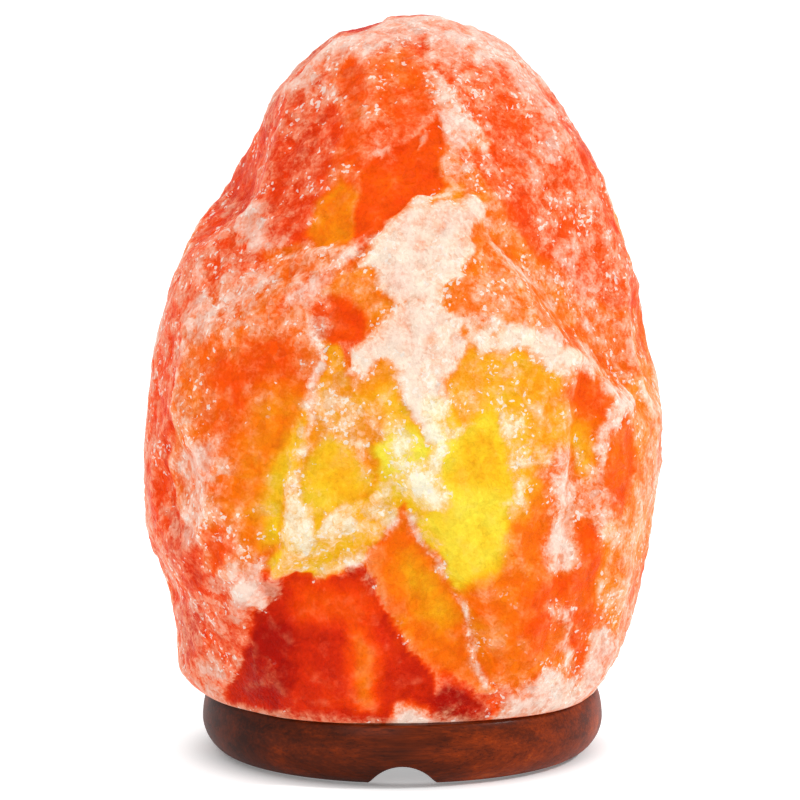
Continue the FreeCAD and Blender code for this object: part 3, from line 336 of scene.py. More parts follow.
def spread(mesh, values, steps):
    """Averages per-vertex vectors with their neighbours', steps times."""
    ends = np.empty(len(mesh.edges) * 2, np.int32)
    mesh.edges.foreach_get("vertices", ends)
    ends = ends.reshape(-1, 2)
    count = len(values)
    meets = np.bincount(ends.ravel(), minlength=count)[:, None]
    for _ in range(steps):
        total = np.empty_like(values)
        for axis in range(values.shape[1]):
            column = values[:, axis]
            total[:, axis] = np.bincount(ends[:, 0], column[ends[:, 1]], count)
            total[:, axis] += np.bincount(ends[:, 1], column[ends[:, 0]], count)
        values = 0.5 * values + 0.5 * total / meets
    return values


def swirl(places, size, seed):
    """Smooth random vectors in space, one for each place, that change over the given size."""
    start = Vector((seed, -seed, 2 * seed))
    return np.array([noise.noise_vector(Vector(place) / size + start) for place in places])


def drawn_places(places):
    """Where the camera sees each place on the drawing's plane, in millimetres."""
    from_eye = places - np.array(camera.location)
    depth = from_eye @ np.array(gaze)
    upward = np.cross((1.0, 0.0, 0.0), np.array(gaze))
    scale = 1000 * view_distance / depth
    return np.column_stack((from_eye[:, 0] * scale, from_eye @ upward * scale))


def from_line(spots, line):
    """Distance of each spot from a drawn line, and which side it lies on: 1 left, -1 right."""
    nearest = np.full(len(spots), 1e9)
    side = np.zeros(len(spots))
    for start, end in zip(np.array(line, float), np.array(line, float)[1:]):
        run, away = end - start, spots - start
        along = np.clip(away @ run / (run @ run), 0, 1)
        gap = np.hypot(*(away - along[:, None] * run).T)
        turn = run[0] * away[:, 1] - run[1] * away[:, 0]
        side = np.where(gap < nearest, np.sign(turn), side)
        nearest = np.minimum(nearest, gap)
    return nearest, side


def inside_by(spots, outline):
    """How far each spot lies inside a closed outline, negative outside."""
    gap, side = from_line(spots, (*outline, outline[0]))
    inside = np.zeros(len(spots), bool)
    for (x, y), (next_x, next_y) in zip(outline, (*outline[1:], outline[0])):
        if y != next_y:
            crossing = x + (spots[:, 1] - y) * (next_x - x) / (next_y - y)
            inside ^= ((y > spots[:, 1]) != (next_y > spots[:, 1])) & (spots[:, 0] < crossing)
    return np.where(inside, gap, -gap)


salt_block = merged_copy("salt_crystal", "salt_block")
voxels = salt_block.modifiers.new("voxels", "REMESH")
voxels.mode = "VOXEL"
voxels.voxel_size = voxel_size
softening = salt_block.modifiers.new("softening", "SMOOTH")
softening.iterations = softening_steps
plain_mesh(salt_block)

block_mesh = salt_block.data
block_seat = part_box("salt_crystal")[0].z
skin = points_of(block_mesh)
outward = normals_of(block_mesh)
from_axis = np.hypot(skin[:, 0], skin[:, 1])
outside_bore = smooth_step(from_axis, bore_radius + drilled_margin, bore_radius + 3 * drilled_margin)
above_bore = smooth_step(skin[:, 2], bore_top + drilled_margin, bore_top + 3 * drilled_margin)
weathered = np.maximum(outside_bore, above_bore)
weathered *= smooth_step(skin[:, 2] - block_seat, weathering_starts, weathering_full)
to_eye = np.array(camera.location) - skin
to_eye /= np.linalg.norm(to_eye, axis=1)[:, None]
faces_front = smooth_step((outward * to_eye).sum(1), -0.02, 0.22)

# Away from the front, the block is warmer near the bulb and frosted in drifts.
drift = swirl(skin, 0.030, 13)
from_bulb = np.linalg.norm(skin - np.array((0.0, 0.0, 0.085)), axis=1)
own_warmth = np.maximum(1.05 - 7.0 * from_bulb + 0.45 * drift[:, 0], 0.08)
own_frost = 0.38 + 0.60 * drift[:, 1] + 0.30 * swirl(skin, 0.011, 17)[:, 1]

# On the front, marks and drifts, then each broken face over the ones before, then the veins.
wavy = drawn_places(skin + 0.0022 * swirl(skin, 0.013, 7) + 0.0013 * swirl(skin, 0.0045, 11))
warmth_sum, weights = np.full(len(skin), 0.42 * 0.02), np.full(len(skin), 0.02)
for mark, reach, line in WARMTH:
    gap, side = from_line(wavy, line)
    weight = np.exp(-np.square(gap / reach))
    warmth_sum += mark * weight
    weights += weight
warmth = warmth_sum / weights
frost = np.full(len(skin), 0.16)
for amount, half_width, line in DRIFTS:
    gap, side = from_line(wavy, line)
    frost = np.maximum(frost, 0.75 * amount * np.exp(-np.square(gap / half_width) / 2))
stand_out = np.zeros(len(skin))
for face_warmth, face_frost, rise, edge_width, outline in FACES:
    depth = inside_by(wavy, outline)
    share = smooth_step(depth, -edge_width, edge_width)
    warmth += share * (face_warmth - warmth)
    stand_out += share * (rise - stand_out)
    share = smooth_step(depth, -1.0 - edge_width, 2.0 + 2 * edge_width)
    frost += share * (face_frost - frost)
broken_up = np.clip(0.75 + 1.3 * swirl(skin, 0.006, 19)[:, 2], 0.2, 1.0)
for amount, half_width, line in VEINS:
    gap, side = from_line(wavy, line)
    vein = 0.8 * amount * broken_up * np.exp(-np.square(gap / half_width) / 2)
    frost = np.maximum(frost, vein)

for place, reach, depth in HOLLOWS:
    gap = np.linalg.norm(skin - np.array(place), axis=1)
    skin -= outward * (depth * weathered * np.exp(-np.square(gap / reach) * 2))[:, None]
skin += outward * (stand_out * faces_front * weathered / 1000)[:, None]
set_points(block_mesh, skin)
set_attribute(block_mesh, "warmth", own_warmth + faces_front * (warmth - own_warmth))
set_attribute(block_mesh, "frost", own_frost + faces_front * (frost - own_frost))
set_attribute(block_mesh, "weathered", weathered)


# Scars of three sizes: their share of the largest's width and of its depth, and their shape.
SCARS = ((1.0, 1.0, "CHEBYCHEV"), (0.42, 0.6, "EUCLIDEAN"), (0.2, 0.45, "CHEBYCHEV"))


def salt_skin():
    """Breaks a surface as salt breaks: shallow flat scars with sharp ridges between them."""
    tree = bpy.data.node_groups.new("salt skin", "GeometryNodeTree")
    faces = tree.interface
    faces.new_socket("Geometry", in_out="INPUT", socket_type="NodeSocketGeometry")
    for name in ("Scar size", "Scar depth", "Grit depth"):
        faces.new_socket(name, in_out="INPUT", socket_type="NodeSocketFloat")
    faces.new_socket("Finish", in_out="INPUT", socket_type="NodeSocketMaterial")
    faces.new_socket("Geometry", in_out="OUTPUT", socket_type="NodeSocketGeometry")
    start = add(tree, "NodeGroupInput").outputs
    place = add(tree, "GeometryNodeInputPosition").outputs[0]
    mask = add(tree, "GeometryNodeInputNamedAttribute", "weathered").outputs[0]
    bend = add(tree, "ShaderNodeTexNoise", Vector=place, Scale=55.0, Detail=2.0).outputs["Color"]
    bend = add(tree, "ShaderNodeVectorMath", bend, Scale=0.008, settings={"operation": "SCALE"})
    bent = add(tree, "ShaderNodeVectorMath", place, bend.outputs[0]).outputs[0]

    height = sum_of(tree, "MULTIPLY", start["Scar depth"], -0.95)
    for share, depth, metric in SCARS:
        size = sum_of(tree, "MULTIPLY", start["Scar size"], share)
        scars = add(
            tree,
            "ShaderNodeTexVoronoi",
            settings={"distance": metric},
            Vector=bent,
            Scale=sum_of(tree, "DIVIDE", 1.0, size),
        ).outputs["Distance"]
        height = sum_of(
            tree,
            "MULTIPLY_ADD",
            sum_of(tree, "POWER", scars, 1.5),
            sum_of(tree, "MULTIPLY", start["Scar depth"], depth * 1.4),
            height,
        )
    grit = add(tree, "ShaderNodeTexNoise", Vector=place, Scale=380.0, Detail=3.0).outputs[0]
    grit = sum_of(tree, "MULTIPLY", sum_of(tree, "SUBTRACT", grit, 0.5), start["Grit depth"])
    height = sum_of(tree, "MULTIPLY", sum_of(tree, "ADD", height, grit), mask)
    offset = add(
        tree,
        "ShaderNodeVectorMath",
        add(tree, "GeometryNodeInputNormal").outputs[0],
        Scale=height,
        settings={"operation": "SCALE"},
    ).outputs[0]
    moved = add(tree, "GeometryNodeSetPosition", start["Geometry"], Offset=offset).outputs[0]
    real = add(tree, "GeometryNodeRealizeInstances", moved).outputs[0]
    done = add(tree, "GeometryNodeSetMaterial", real, Material=start["Finish"]).outputs[0]
    add(tree, "NodeGroupOutput", done)
    return tree


def new_material(name):
    """A material with an empty tree, and its output node."""
    material = bpy.data.materials.new(name)
    material.use_nodes = True
    material.node_tree.nodes.clear()
    return material, material.node_tree, add(material.node_tree, "ShaderNodeOutputMaterial")


def ramp(tree, factor, stops):
    """A colour ramp through (place, colour) stops."""
    node = add(tree, "ShaderNodeValToRGB", factor)
    marks = node.color_ramp.elements
    while len(marks) < len(stops):
        marks.new(0.5)
    for mark, (place, colour) in zip(marks, stops):
        mark.position = place
        mark.color = colour
    return node.outputs[0]


def mix(tree, factor, first, second, blend="MIX"):
    node = add(tree, "ShaderNodeMix", settings={"data_type": "RGBA", "blend_type": blend})
    for place, value in ((0, factor), (6, first), (7, second)):
        if isinstance(value, bpy.types.NodeSocket):
            tree.links.new(value, node.inputs[place])
        else:
            node.inputs[place].default_value = value
    return node.outputs[2]


def stretch(tree, value, low, high, to_low=0.0, to_high=1.0):
    """Carries low..high smoothly to to_low..to_high."""
    settings = {"interpolation_type": "SMOOTHSTEP"}
    node = add(tree, "ShaderNodeMapRange", value, low, high, to_low, to_high, settings=settings)
    return node.outputs[0]


def swayed(tree, value, texture, amount, middle=0.5):
    """The value, moved up and down by a texture."""
    sway = sum_of(tree, "SUBTRACT", texture, middle)
    return sum_of(tree, "MULTIPLY_ADD", sway, amount, value)


def scaled_place(tree, scale):
    """The place on the piece, in units of 1/scale metres."""
    place = add(tree, "ShaderNodeTexCoord").outputs["Object"]
    settings = {"operation": "SCALE"}
    return add(tree, "ShaderNodeVectorMath", place, Scale=scale, settings=settings).outputs[0]


def attribute(tree, name):
    return add(tree, "ShaderNodeAttribute", settings={"attribute_name": name}).outputs["Fac"]


def noise_of(tree, vector, scale, detail=3.0, roughness=0.5, seed=0.0, distortion=0.0):
    """Noise whose seed moves it to another part of the same endless pattern."""
    start = add(tree, "ShaderNodeVectorMath", vector, (137.0 * seed, 71.0 * seed, 211.0 * seed))
    node = add(tree, "ShaderNodeTexNoise", Vector=start.outputs[0], Scale=scale, Detail=detail)
    node.inputs["Roughness"].default_value = roughness
    node.inputs["Distortion"].default_value = distortion
    return node.outputs[0]


def lit_salt():
    material, tree, output = new_material("lit rock salt")
    mm = scaled_place(tree, 1000.0)
    drifts = noise_of(tree, mm, 0.06, 4.0, 0.55, 1.0)
    clouds = noise_of(tree, mm, 0.11, 5.0, 0.62, 2.0, 0.7)
    grains = noise_of(tree, mm, 0.8, 3.0, 0.62, 3.0)
    bend = add(tree, "ShaderNodeTexNoise", Vector=mm, Scale=0.5, Detail=2.0).outputs["Color"]
    bend = add(tree, "ShaderNodeVectorMath", bend, Scale=2.4, settings={"operation": "SCALE"})
    bent = add(tree, "ShaderNodeVectorMath", mm, bend.outputs[0]).outputs[0]
    shards = add(tree, "ShaderNodeTexVoronoi", Vector=bent, Scale=0.32)
    splinters = add(tree, "ShaderNodeTexVoronoi", Vector=bent, Scale=1.0)
    shard_tone, painted_shard_shade, _ = add(tree, "ShaderNodeSeparateColor", shards.outputs["Color"]).outputs
    splinter_tone, glint_chance, _ = add(tree, "ShaderNodeSeparateColor", splinters.outputs["Color"]).outputs
    edge = attribute(tree, "edge")
    frost = attribute(tree, "frost")

    # The glow of the salt itself.
    warmth = swayed(tree, attribute(tree, "warmth"), drifts, 0.24)
    warmth = swayed(tree, swayed(tree, warmth, clouds, 0.30), grains, 0.08)
    glow = ramp(
        tree,
        warmth,
        (
            (0.00, srgb(176, 16, 2)),
            (0.14, srgb(220, 42, 6)),
            (0.28, srgb(246, 64, 2)),
            (0.40, srgb(252, 82, 2)),
            (0.54, srgb(254, 114, 5)),
            (0.68, srgb(255, 152, 14)),
            (0.82, srgb(255, 198, 30)),
            (1.00, srgb(255, 236, 66)),
        ),
    )

    # The frosted crust over it, whiter where more light comes through.
    white = ramp(
        tree,
        warmth,
        (
            (0.00, srgb(226, 156, 136)),
            (0.30, srgb(240, 188, 170)),
            (0.50, srgb(253, 224, 208)),
            (0.80, srgb(255, 240, 214)),
            (1.00, srgb(255, 250, 220)),
        ),
    )
    thin_frost = sum_of(tree, "MULTIPLY", frost, sum_of(tree, "SUBTRACT", 1.0, frost))
    uneven = sum_of(tree, "MULTIPLY_ADD", thin_frost, 1.5, 0.10)
    uneven = sum_of(tree, "MULTIPLY_ADD", frost, 0.20, uneven)
    texture = sum_of(tree, "MULTIPLY", sum_of(tree, "SUBTRACT", clouds, 0.5), 2.6)
    texture = swayed(tree, swayed(tree, texture, grains, 0.9), shard_tone, 0.5)
    texture = swayed(tree, texture, splinter_tone, 0.45)
    crust = sum_of(tree, "MULTIPLY_ADD", texture, uneven, frost)
    # Ridges come out whiter: partly the crust that lies thicker on edges, partly a painted highlight along them.
    crust = sum_of(tree, "MULTIPLY_ADD", edge, 0.22, crust)
    thin = stretch(tree, crust, 0.02, 0.60)
    thick = stretch(tree, crust, 0.24, 1.12, 0.0, 0.94)
    peach = mix(tree, 0.45, glow, srgb(255, 178, 128))
    colour = mix(tree, thick, mix(tree, thin, glow, peach), white)

    # Painted glints: white flecks where crystal faces would catch the light, in drifts.
    where = stretch(tree, swayed(tree, clouds, drifts, 1.0), 0.38, 0.68, -0.06, 0.11)
    where = sum_of(tree, "MULTIPLY_ADD", stretch(tree, frost, 0.0, 0.3), 0.08, where)
    painted_glint = stretch(tree, sum_of(tree, "ADD", glint_chance, where), 1.04, 1.06, 0.0, 0.75)
    painted_glint = sum_of(tree, "MULTIPLY", painted_glint, stretch(tree, frost, 0.0, 0.2))
    colour = mix(tree, painted_glint, colour, mix(tree, 0.7, white, srgb(255, 246, 236)))
    hollow = stretch(tree, swayed(tree, grains, splinter_tone, -0.3), 0.40, 0.28, 0.0, 0.5)
    hollow = sum_of(tree, "MULTIPLY", hollow, sum_of(tree, "SUBTRACT", 1.0, thick))
    colour = mix(tree, hollow, colour, glow)
    # Painted light and shade: ridges lighter and creases darker, and each grain and shard a little lighter or darker,
    # as if turned to or from the light.
    lit = sum_of(tree, "MULTIPLY_ADD", edge, 0.06, 1.0)
    lit = swayed(tree, swayed(tree, lit, grains, 0.24), painted_shard_shade, 0.14)
    lit = swayed(tree, lit, splinter_tone, 0.10)
    lit = add(tree, "ShaderNodeCombineColor", lit, lit, lit).outputs[0]
    colour = mix(tree, 1.0, colour, lit, "MULTIPLY")

    lean = add(
        tree,
        "ShaderNodeVectorMath",
        shards.outputs["Color"],
        (0.5, 0.5, 0.5),
        settings={"operation": "SUBTRACT"},
    ).outputs[0]
    across = add(
        tree,
        "ShaderNodeVectorMath",
        bent,
        shards.outputs["Position"],
        settings={"operation": "SUBTRACT"},
    ).outputs[0]
    facet = add(
        tree, "ShaderNodeVectorMath", lean, across, settings={"operation": "DOT_PRODUCT"}
    ).outputs["Value"]
    relief = sum_of(tree, "MULTIPLY_ADD", facet, 0.6, sum_of(tree, "MULTIPLY", clouds, 1.6))
    relief = sum_of(tree, "MULTIPLY_ADD", grains, 1.0, relief)
    bump = add(tree, "ShaderNodeBump", Strength=0.9, Distance=0.001, Height=relief)

    # Little of the glow goes out to the floor and the base.
    spill = add(tree, "ShaderNodeLightPath").outputs["Is Diffuse Ray"]
    strength = sum_of(tree, "MULTIPLY_ADD", spill, -0.85 * glow_strength, glow_strength)
    surface = add(tree, "ShaderNodeBsdfPrincipled", Normal=bump.outputs[0], Roughness=0.42)
    surface.inputs["IOR"].default_value = 1.54
    surface.inputs["Specular IOR Level"].default_value = 0.05
    day = mix(tree, 1.0, colour, srgb(*daylight_share), "MULTIPLY")
    tree.links.new(day, surface.inputs["Base Color"])
    tree.links.new(colour, surface.inputs["Emission Color"])
    tree.links.new(strength, surface.inputs["Emission Strength"])
    tree.links.new(surface.outputs[0], output.inputs["Surface"])
    return material


glow_strength = 0.66
daylight_share = (158, 158, 158)
salt_finish = lit_salt()
chips = salt_block.modifiers.new("chips", "NODES")
chips.node_group = salt_skin()
sockets = {item.name: item.identifier for item in chips.node_group.interface.items_tree}
chips[sockets["Scar size"]] = 0.017
chips[sockets["Scar depth"]] = 0.0011
chips[sockets["Grit depth"]] = 0.0005
chips[sockets["Finish"]] = salt_finish
plain_mesh(salt_block)

# The seat stays flat and the bore stays open.
block_mesh = salt_block.data
skin = points_of(block_mesh)
skin[:, 2] = np.maximum(skin[:, 2], block_seat)
from_axis = np.hypot(skin[:, 0], skin[:, 1])
bored = (from_axis < bore_radius) & (skin[:, 2] < bore_top - 0.012)
skin[bored, :2] *= (bore_radius / np.maximum(from_axis[bored], 1e-6))[:, None]
set_points(block_mesh, skin)
outward = normals_of(block_mesh)
bulge = ((skin - spread(block_mesh, skin, 12)) * outward).sum(1)
set_attribute(block_mesh, "edge", np.clip(bulge / 0.0004, -1, 1))
for polygon in block_mesh.polygons:
    polygon.use_smooth = True
block_mesh.materials.clear()
block_mesh.materials.append(salt_finish)
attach(salt_block, "lamp")
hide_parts("salt_crystal")


# ---- Wooden base ----------------------------------------------------------------------------
# A ring turned from one round of hardwood, about 125 mm across, with a rounded rim and an arched
# groove at the front for the cord. It is stained dark brown and finished with satin lacquer.


def stained_wood():
    material, tree, output = new_material("stained hardwood")
    mm = scaled_place(tree, 1000.0)
    stretched = {"operation": "MULTIPLY"}
    fibres = add(tree, "ShaderNodeVectorMath", mm, (0.05, 1.0, 1.0), settings=stretched).outputs[0]
    slow = add(tree, "ShaderNodeVectorMath", mm, (0.25, 0.8, 1.0), settings=stretched).outputs[0]
    fibre = noise_of(tree, fibres, 1.1, 5.0, 0.7, 5.0)
    figure = noise_of(tree, slow, 0.10, 4.0, 0.6, 4.0)
    across = add(tree, "ShaderNodeSeparateXYZ", mm).outputs["X"]
    # Painted light and shade: the wood runs darker to the left and lighter to the right, as the key light falls from
    # the right.
    tone = stretch(tree, across, -70.0, 50.0, 0.22, 0.50)
    tone = swayed(tree, swayed(tree, tone, fibre, 0.9), figure, 1.5)
    wood = ramp(
        tree,
        tone,
        (
            (0.00, srgb(50, 14, 1)),
            (0.35, srgb(92, 30, 2)),
            (0.65, srgb(138, 48, 4)),
            (1.00, srgb(186, 80, 14)),
        ),
    )
    pores = stretch(tree, noise_of(tree, fibres, 3.0, 2.0, 0.5, 7.0), 0.60, 0.70)
    wood = mix(tree, sum_of(tree, "MULTIPLY", pores, 0.6), wood, srgb(34, 10, 3))
    height = sum_of(tree, "MULTIPLY_ADD", pores, -0.6, sum_of(tree, "MULTIPLY", fibre, 0.4))
    bump = add(tree, "ShaderNodeBump", Strength=0.3, Distance=0.0004, Height=height)
    surface = add(tree, "ShaderNodeBsdfPrincipled", wood, Normal=bump.outputs[0])
    surface.inputs["Roughness"].default_value = 0.5
    surface.inputs["Specular IOR Level"].default_value = 0.05
    surface.inputs["Coat Weight"].default_value = 0.12
    surface.inputs["Coat Roughness"].default_value = 0.24
    tree.links.new(surface.outputs[0], output.inputs["Surface"])
    return material


def finish_node(name, material):
    """Gives a solid that stays as it is its finish."""
    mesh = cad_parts[name].data
    mesh.materials.clear()
    mesh.materials.append(material)


finish_node("wooden_base", stained_wood())


# ---- Pads under the base --------------------------------------------------------------------
# Four discs of black rubber, pressed into pockets in the foot. They keep the wood off the table
# and the lamp from sliding.


def grained(name, dark, light, grain, roughness=0.5, metallic=0.0, depth=0.00005, stretch_by=(1, 1, 1)):
    """A finish whose tone, gloss and relief follow one grain, of the given size in millimetres."""
    material, tree, output = new_material(name)
    lengthened = {"operation": "MULTIPLY"}
    place = scaled_place(tree, 1000.0)
    place = add(tree, "ShaderNodeVectorMath", place, stretch_by, settings=lengthened).outputs[0]
    pattern = noise_of(tree, place, 1.0 / grain, 4.0, 0.6, 2.0)
    worn = noise_of(tree, place, 0.12 / grain, 2.0, 0.5, 6.0)
    tone = swayed(tree, pattern, worn, 0.7)
    colour = mix(tree, stretch(tree, tone, 0.3, 0.7), srgb(*dark), srgb(*light))
    gloss = stretch(tree, tone, 0.25, 0.75, roughness - 0.08, roughness + 0.08)
    bump = add(tree, "ShaderNodeBump", Strength=0.6, Distance=depth, Height=pattern)
    surface = add(tree, "ShaderNodeBsdfPrincipled", colour, metallic, gloss, Normal=bump.outputs[0])
    tree.links.new(surface.outputs[0], output.inputs["Surface"])
    return material


pad_rubber = grained("black rubber", (24, 24, 26), (44, 43, 44), 0.5, roughness=0.72)
for number in range(1, 5):
    finish_node(f"base_pad_{number}", pad_rubber)


# ---- Screws and plugs -----------------------------------------------------------------------
# Three pan-headed wood screws of zinc-plated steel hold the base to the block. They bite in split
# plugs of grey nylon, pushed into holes bored in the salt, which alone would crumble.

zinc_plate = grained(
    "zinc-plated steel", (176, 179, 184), (202, 204, 208), 6.0, roughness=0.34, metallic=1.0, depth=0.00002
)
plug_nylon = grained("grey nylon", (126, 128, 130), (150, 152, 154), 1.2, roughness=0.5)
finish_node("base_screws", zinc_plate)
finish_node("wall_plugs", plug_nylon)


# ---- Holder plate ---------------------------------------------------------------------------
# A pan pressed from zinc-plated sheet, that closes the hole in the base and carries the lamp
# holder. Three clips of bright spring steel are riveted to it, and press in the bore of the block.

spring_steel = grained(
    "bright spring steel", (164, 166, 171), (194, 196, 200), 5.0, roughness=0.28, metallic=1.0, depth=0.00002
)
finish_node("holder_plate", zinc_plate)
finish_node("clip_rivets", zinc_plate)
for number in range(1, 4):
    finish_node(f"spring_clip_{number}", spring_steel)


# ---- Threaded tube --------------------------------------------------------------------------
# A length of M10 tube with a fine rolled thread, that clamps the holder to its plate with a
# hexagon nut over a toothed washer. A black bushing lines its mouth, where the cord comes in.

nipple_thread_pitch = 0.001
nipple_ridge = 0.00032              # radius of the rounded ridge, half sunk in the tube
nipple_low, nipple_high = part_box("threaded_nipple")


def thread_ridge():
    """A rounded ridge that winds up round the Z axis."""
    tree = bpy.data.node_groups.new("thread ridge", "GeometryNodeTree")
    faces = tree.interface
    for name in ("Radius", "Ridge", "Pitch", "Bottom", "Length"):
        faces.new_socket(name, in_out="INPUT", socket_type="NodeSocketFloat")
    faces.new_socket("Finish", in_out="INPUT", socket_type="NodeSocketMaterial")
    faces.new_socket("Geometry", in_out="OUTPUT", socket_type="NodeSocketGeometry")
    start = add(tree, "NodeGroupInput").outputs
    turns = sum_of(tree, "DIVIDE", start["Length"], start["Pitch"])
    coil = add(
        tree,
        "GeometryNodeCurveSpiral",
        Resolution=48,
        Rotations=turns,
        Start_Radius=start["Radius"],
        End_Radius=start["Radius"],
        Height=start["Length"],
    ).outputs[0]
    section = add(tree, "GeometryNodeCurvePrimitiveCircle", Resolution=8, Radius=start["Ridge"])
    ridge = add(tree, "GeometryNodeCurveToMesh", coil, section.outputs[0], Fill_Caps=True).outputs[0]
    lift = add(tree, "ShaderNodeCombineXYZ", Z=start["Bottom"]).outputs[0]
    ridge = add(tree, "GeometryNodeSetPosition", ridge, Offset=lift).outputs[0]
    real = add(tree, "GeometryNodeRealizeInstances", ridge).outputs[0]
    done = add(tree, "GeometryNodeSetMaterial", real, Material=start["Finish"]).outputs[0]
    add(tree, "NodeGroupOutput", done)
    return tree


def made_by(tree, name, **inputs):
    """A piece that a tree makes from nothing, as a plain mesh with its faces outward."""
    piece = new_piece(name, bpy.data.meshes.new(name))
    modifier = piece.modifiers.new(name, "NODES")
    modifier.node_group = tree
    for item in tree.interface.items_tree:
        if item.name in inputs:
            modifier[item.identifier] = inputs[item.name]
    plain_mesh(piece)
    shape = bmesh.new()
    shape.from_mesh(piece.data)
    bmesh.ops.remove_doubles(shape, verts=shape.verts, dist=1e-7)
    bmesh.ops.recalc_face_normals(shape, faces=shape.faces)
    shape.to_mesh(piece.data)
    shape.free()
    return piece


nipple_thread = made_by(
    thread_ridge(),
    "nipple_thread",
    Radius=nipple_high.x - nipple_ridge / 2,
    Ridge=nipple_ridge,
    Pitch=nipple_thread_pitch,
    Bottom=nipple_low.z + nipple_ridge,
    Length=nipple_high.z - nipple_low.z - 2 * nipple_ridge,
    Finish=zinc_plate,
)
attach(nipple_thread, "lamp_holder")
for name in ("threaded_nipple", "nipple_nut"):
    finish_node(name, zinc_plate)
finish_node("toothed_washer", spring_steel)
bushing_plastic = grained("black bushing plastic", (22, 22, 23), (36, 36, 37), 0.8, roughness=0.42)
finish_node("cord_bushing", bushing_plastic)


# ---- Lamp holder ----------------------------------------------------------------------------
# A case of black heat-proof plastic in two halves that screw together, the upper with ribs to
# grip. They hold a disc of fired clay, which carries the brass parts.

holder_plastic = grained("black holder plastic", (18, 18, 19), (34, 34, 35), 0.35, roughness=0.4)
fired_clay = grained("fired clay", (218, 212, 198), (238, 234, 224), 1.4, roughness=0.6, depth=0.00008)
finish_node("socket_cap", holder_plastic)
finish_node("socket_skirt", holder_plastic)
finish_node("insulator_core", fired_clay)


# ---- Screw shell and contacts ---------------------------------------------------------------
# The bulb turns into a tube of thin brass with a rolled thread, until its tip presses on a sprung
# strip. Two square plates with a screw each clamp the cores of the cord.

shell_sheet = 0.0004
rolled_pitch = 0.002822
rolled_depth = 0.0005
steps_round = 72
steps_up = 10                       # for each turn of the thread
sheet_brass = grained(
    "sheet brass", (176, 134, 62), (222, 184, 104), 3.0, roughness=0.28, metallic=1.0, depth=0.00002
)


def rolled_tube(name, radius, low, high, sheet, foot=(), head=()):
    """A tube of thin sheet with a rounded thread rolled in between low and high.

    Its outline runs on through the (radius, height) points of its foot and its head.
    """
    rows = round((high - low) / rolled_pitch * steps_up)
    levels = [low + (high - low) * row / rows for row in range(rows + 1)]
    skins = []
    for inset in (0.0, sheet):
        rings = [[(r - inset, z)] * steps_round for r, z in foot]
        for z in levels:
            ring = []
            fade = min(1.0, (z - low) / rolled_pitch, (high - z) / rolled_pitch)
            for step in range(steps_round):
                wave = math.cos(2 * math.pi * (z / rolled_pitch - step / steps_round))
                ring.append((radius - inset - rolled_depth * fade * (1 - wave) / 2, z))
            rings.append(ring)
        rings += [[(r - inset, z)] * steps_round for r, z in head]
        skins.append(rings)
    rings = skins[0] + skins[1][::-1]
    shape = bmesh.new()
    rows_of_points = []
    for ring in rings:
        turns = [2 * math.pi * step / steps_round for step in range(steps_round)]
        rows_of_points.append(
            [shape.verts.new((r * math.cos(t), r * math.sin(t), z)) for (r, z), t in zip(ring, turns)]
        )
    for lower, upper in zip(rows_of_points, rows_of_points[1:] + rows_of_points[:1]):
        for step in range(steps_round):
            after = (step + 1) % steps_round
            shape.faces.new((lower[step], lower[after], upper[after], upper[step]))
    bmesh.ops.recalc_face_normals(shape, faces=shape.faces)
    mesh = bpy.data.meshes.new(name)
    shape.to_mesh(mesh)
    shape.free()
    mesh.materials.append(sheet_brass)
    for polygon in mesh.polygons:
        polygon.use_smooth = True
    return new_piece(name, mesh)


shell_low, shell_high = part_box("screw_shell")
flange_radius = shell_high.x
shell_radius = flange_radius - 0.0013
threaded_shell = rolled_tube(
    "threaded_shell",
    shell_radius,
    shell_low.z + 2 * shell_sheet,
    shell_high.z,
    shell_sheet,
    foot=((flange_radius, shell_low.z), (flange_radius, shell_low.z + shell_sheet), (shell_radius, shell_low.z + shell_sheet)),
)
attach(threaded_shell, "lamp_holder")
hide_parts("screw_shell")
for name in ("centre_contact", "terminal_plate_1", "terminal_plate_2", "terminal_screws"):
    finish_node(name, sheet_brass)


# ---- Bulb -----------------------------------------------------------------------------------
# A small pear-shaped bulb of clear glass in a threaded brass cap. Black glass parts the cap from
# its tip, a bead of solder, and a glass stem carries the leads, two supports and the filament.

cap_sheet = 0.0003
cap_low, cap_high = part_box("bulb_cap")
collar_height = 0.003
cap_radius = 0.00685
threaded_cap = rolled_tube(
    "threaded_cap",
    cap_radius,
    cap_low.z,
    cap_high.z - collar_height - cap_sheet,
    cap_sheet,
    head=((cap_radius, cap_high.z - collar_height), (cap_high.x, cap_high.z - collar_height + cap_sheet), (cap_high.x, cap_high.z)),
)
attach(threaded_cap, "bulb")
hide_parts("bulb_cap")


def bulb_glass():
    """Clear glass, with the faint waves of blown glass."""
    material, tree, output = new_material("bulb glass")
    waves = noise_of(tree, scaled_place(tree, 1000.0), 0.12, 2.0, 0.5, 3.0)
    bump = add(tree, "ShaderNodeBump", Strength=0.15, Distance=0.0003, Height=waves)
    rough = stretch(tree, waves, 0.3, 0.7, 0.01, 0.05)
    surface = add(tree, "ShaderNodeBsdfPrincipled", (0.98, 0.98, 0.97, 1.0), 0.0, rough)
    tree.links.new(bump.outputs[0], surface.inputs["Normal"])
    surface.inputs["IOR"].default_value = 1.5
    surface.inputs["Transmission Weight"].default_value = 1.0
    tree.links.new(surface.outputs[0], output.inputs["Surface"])
    return material


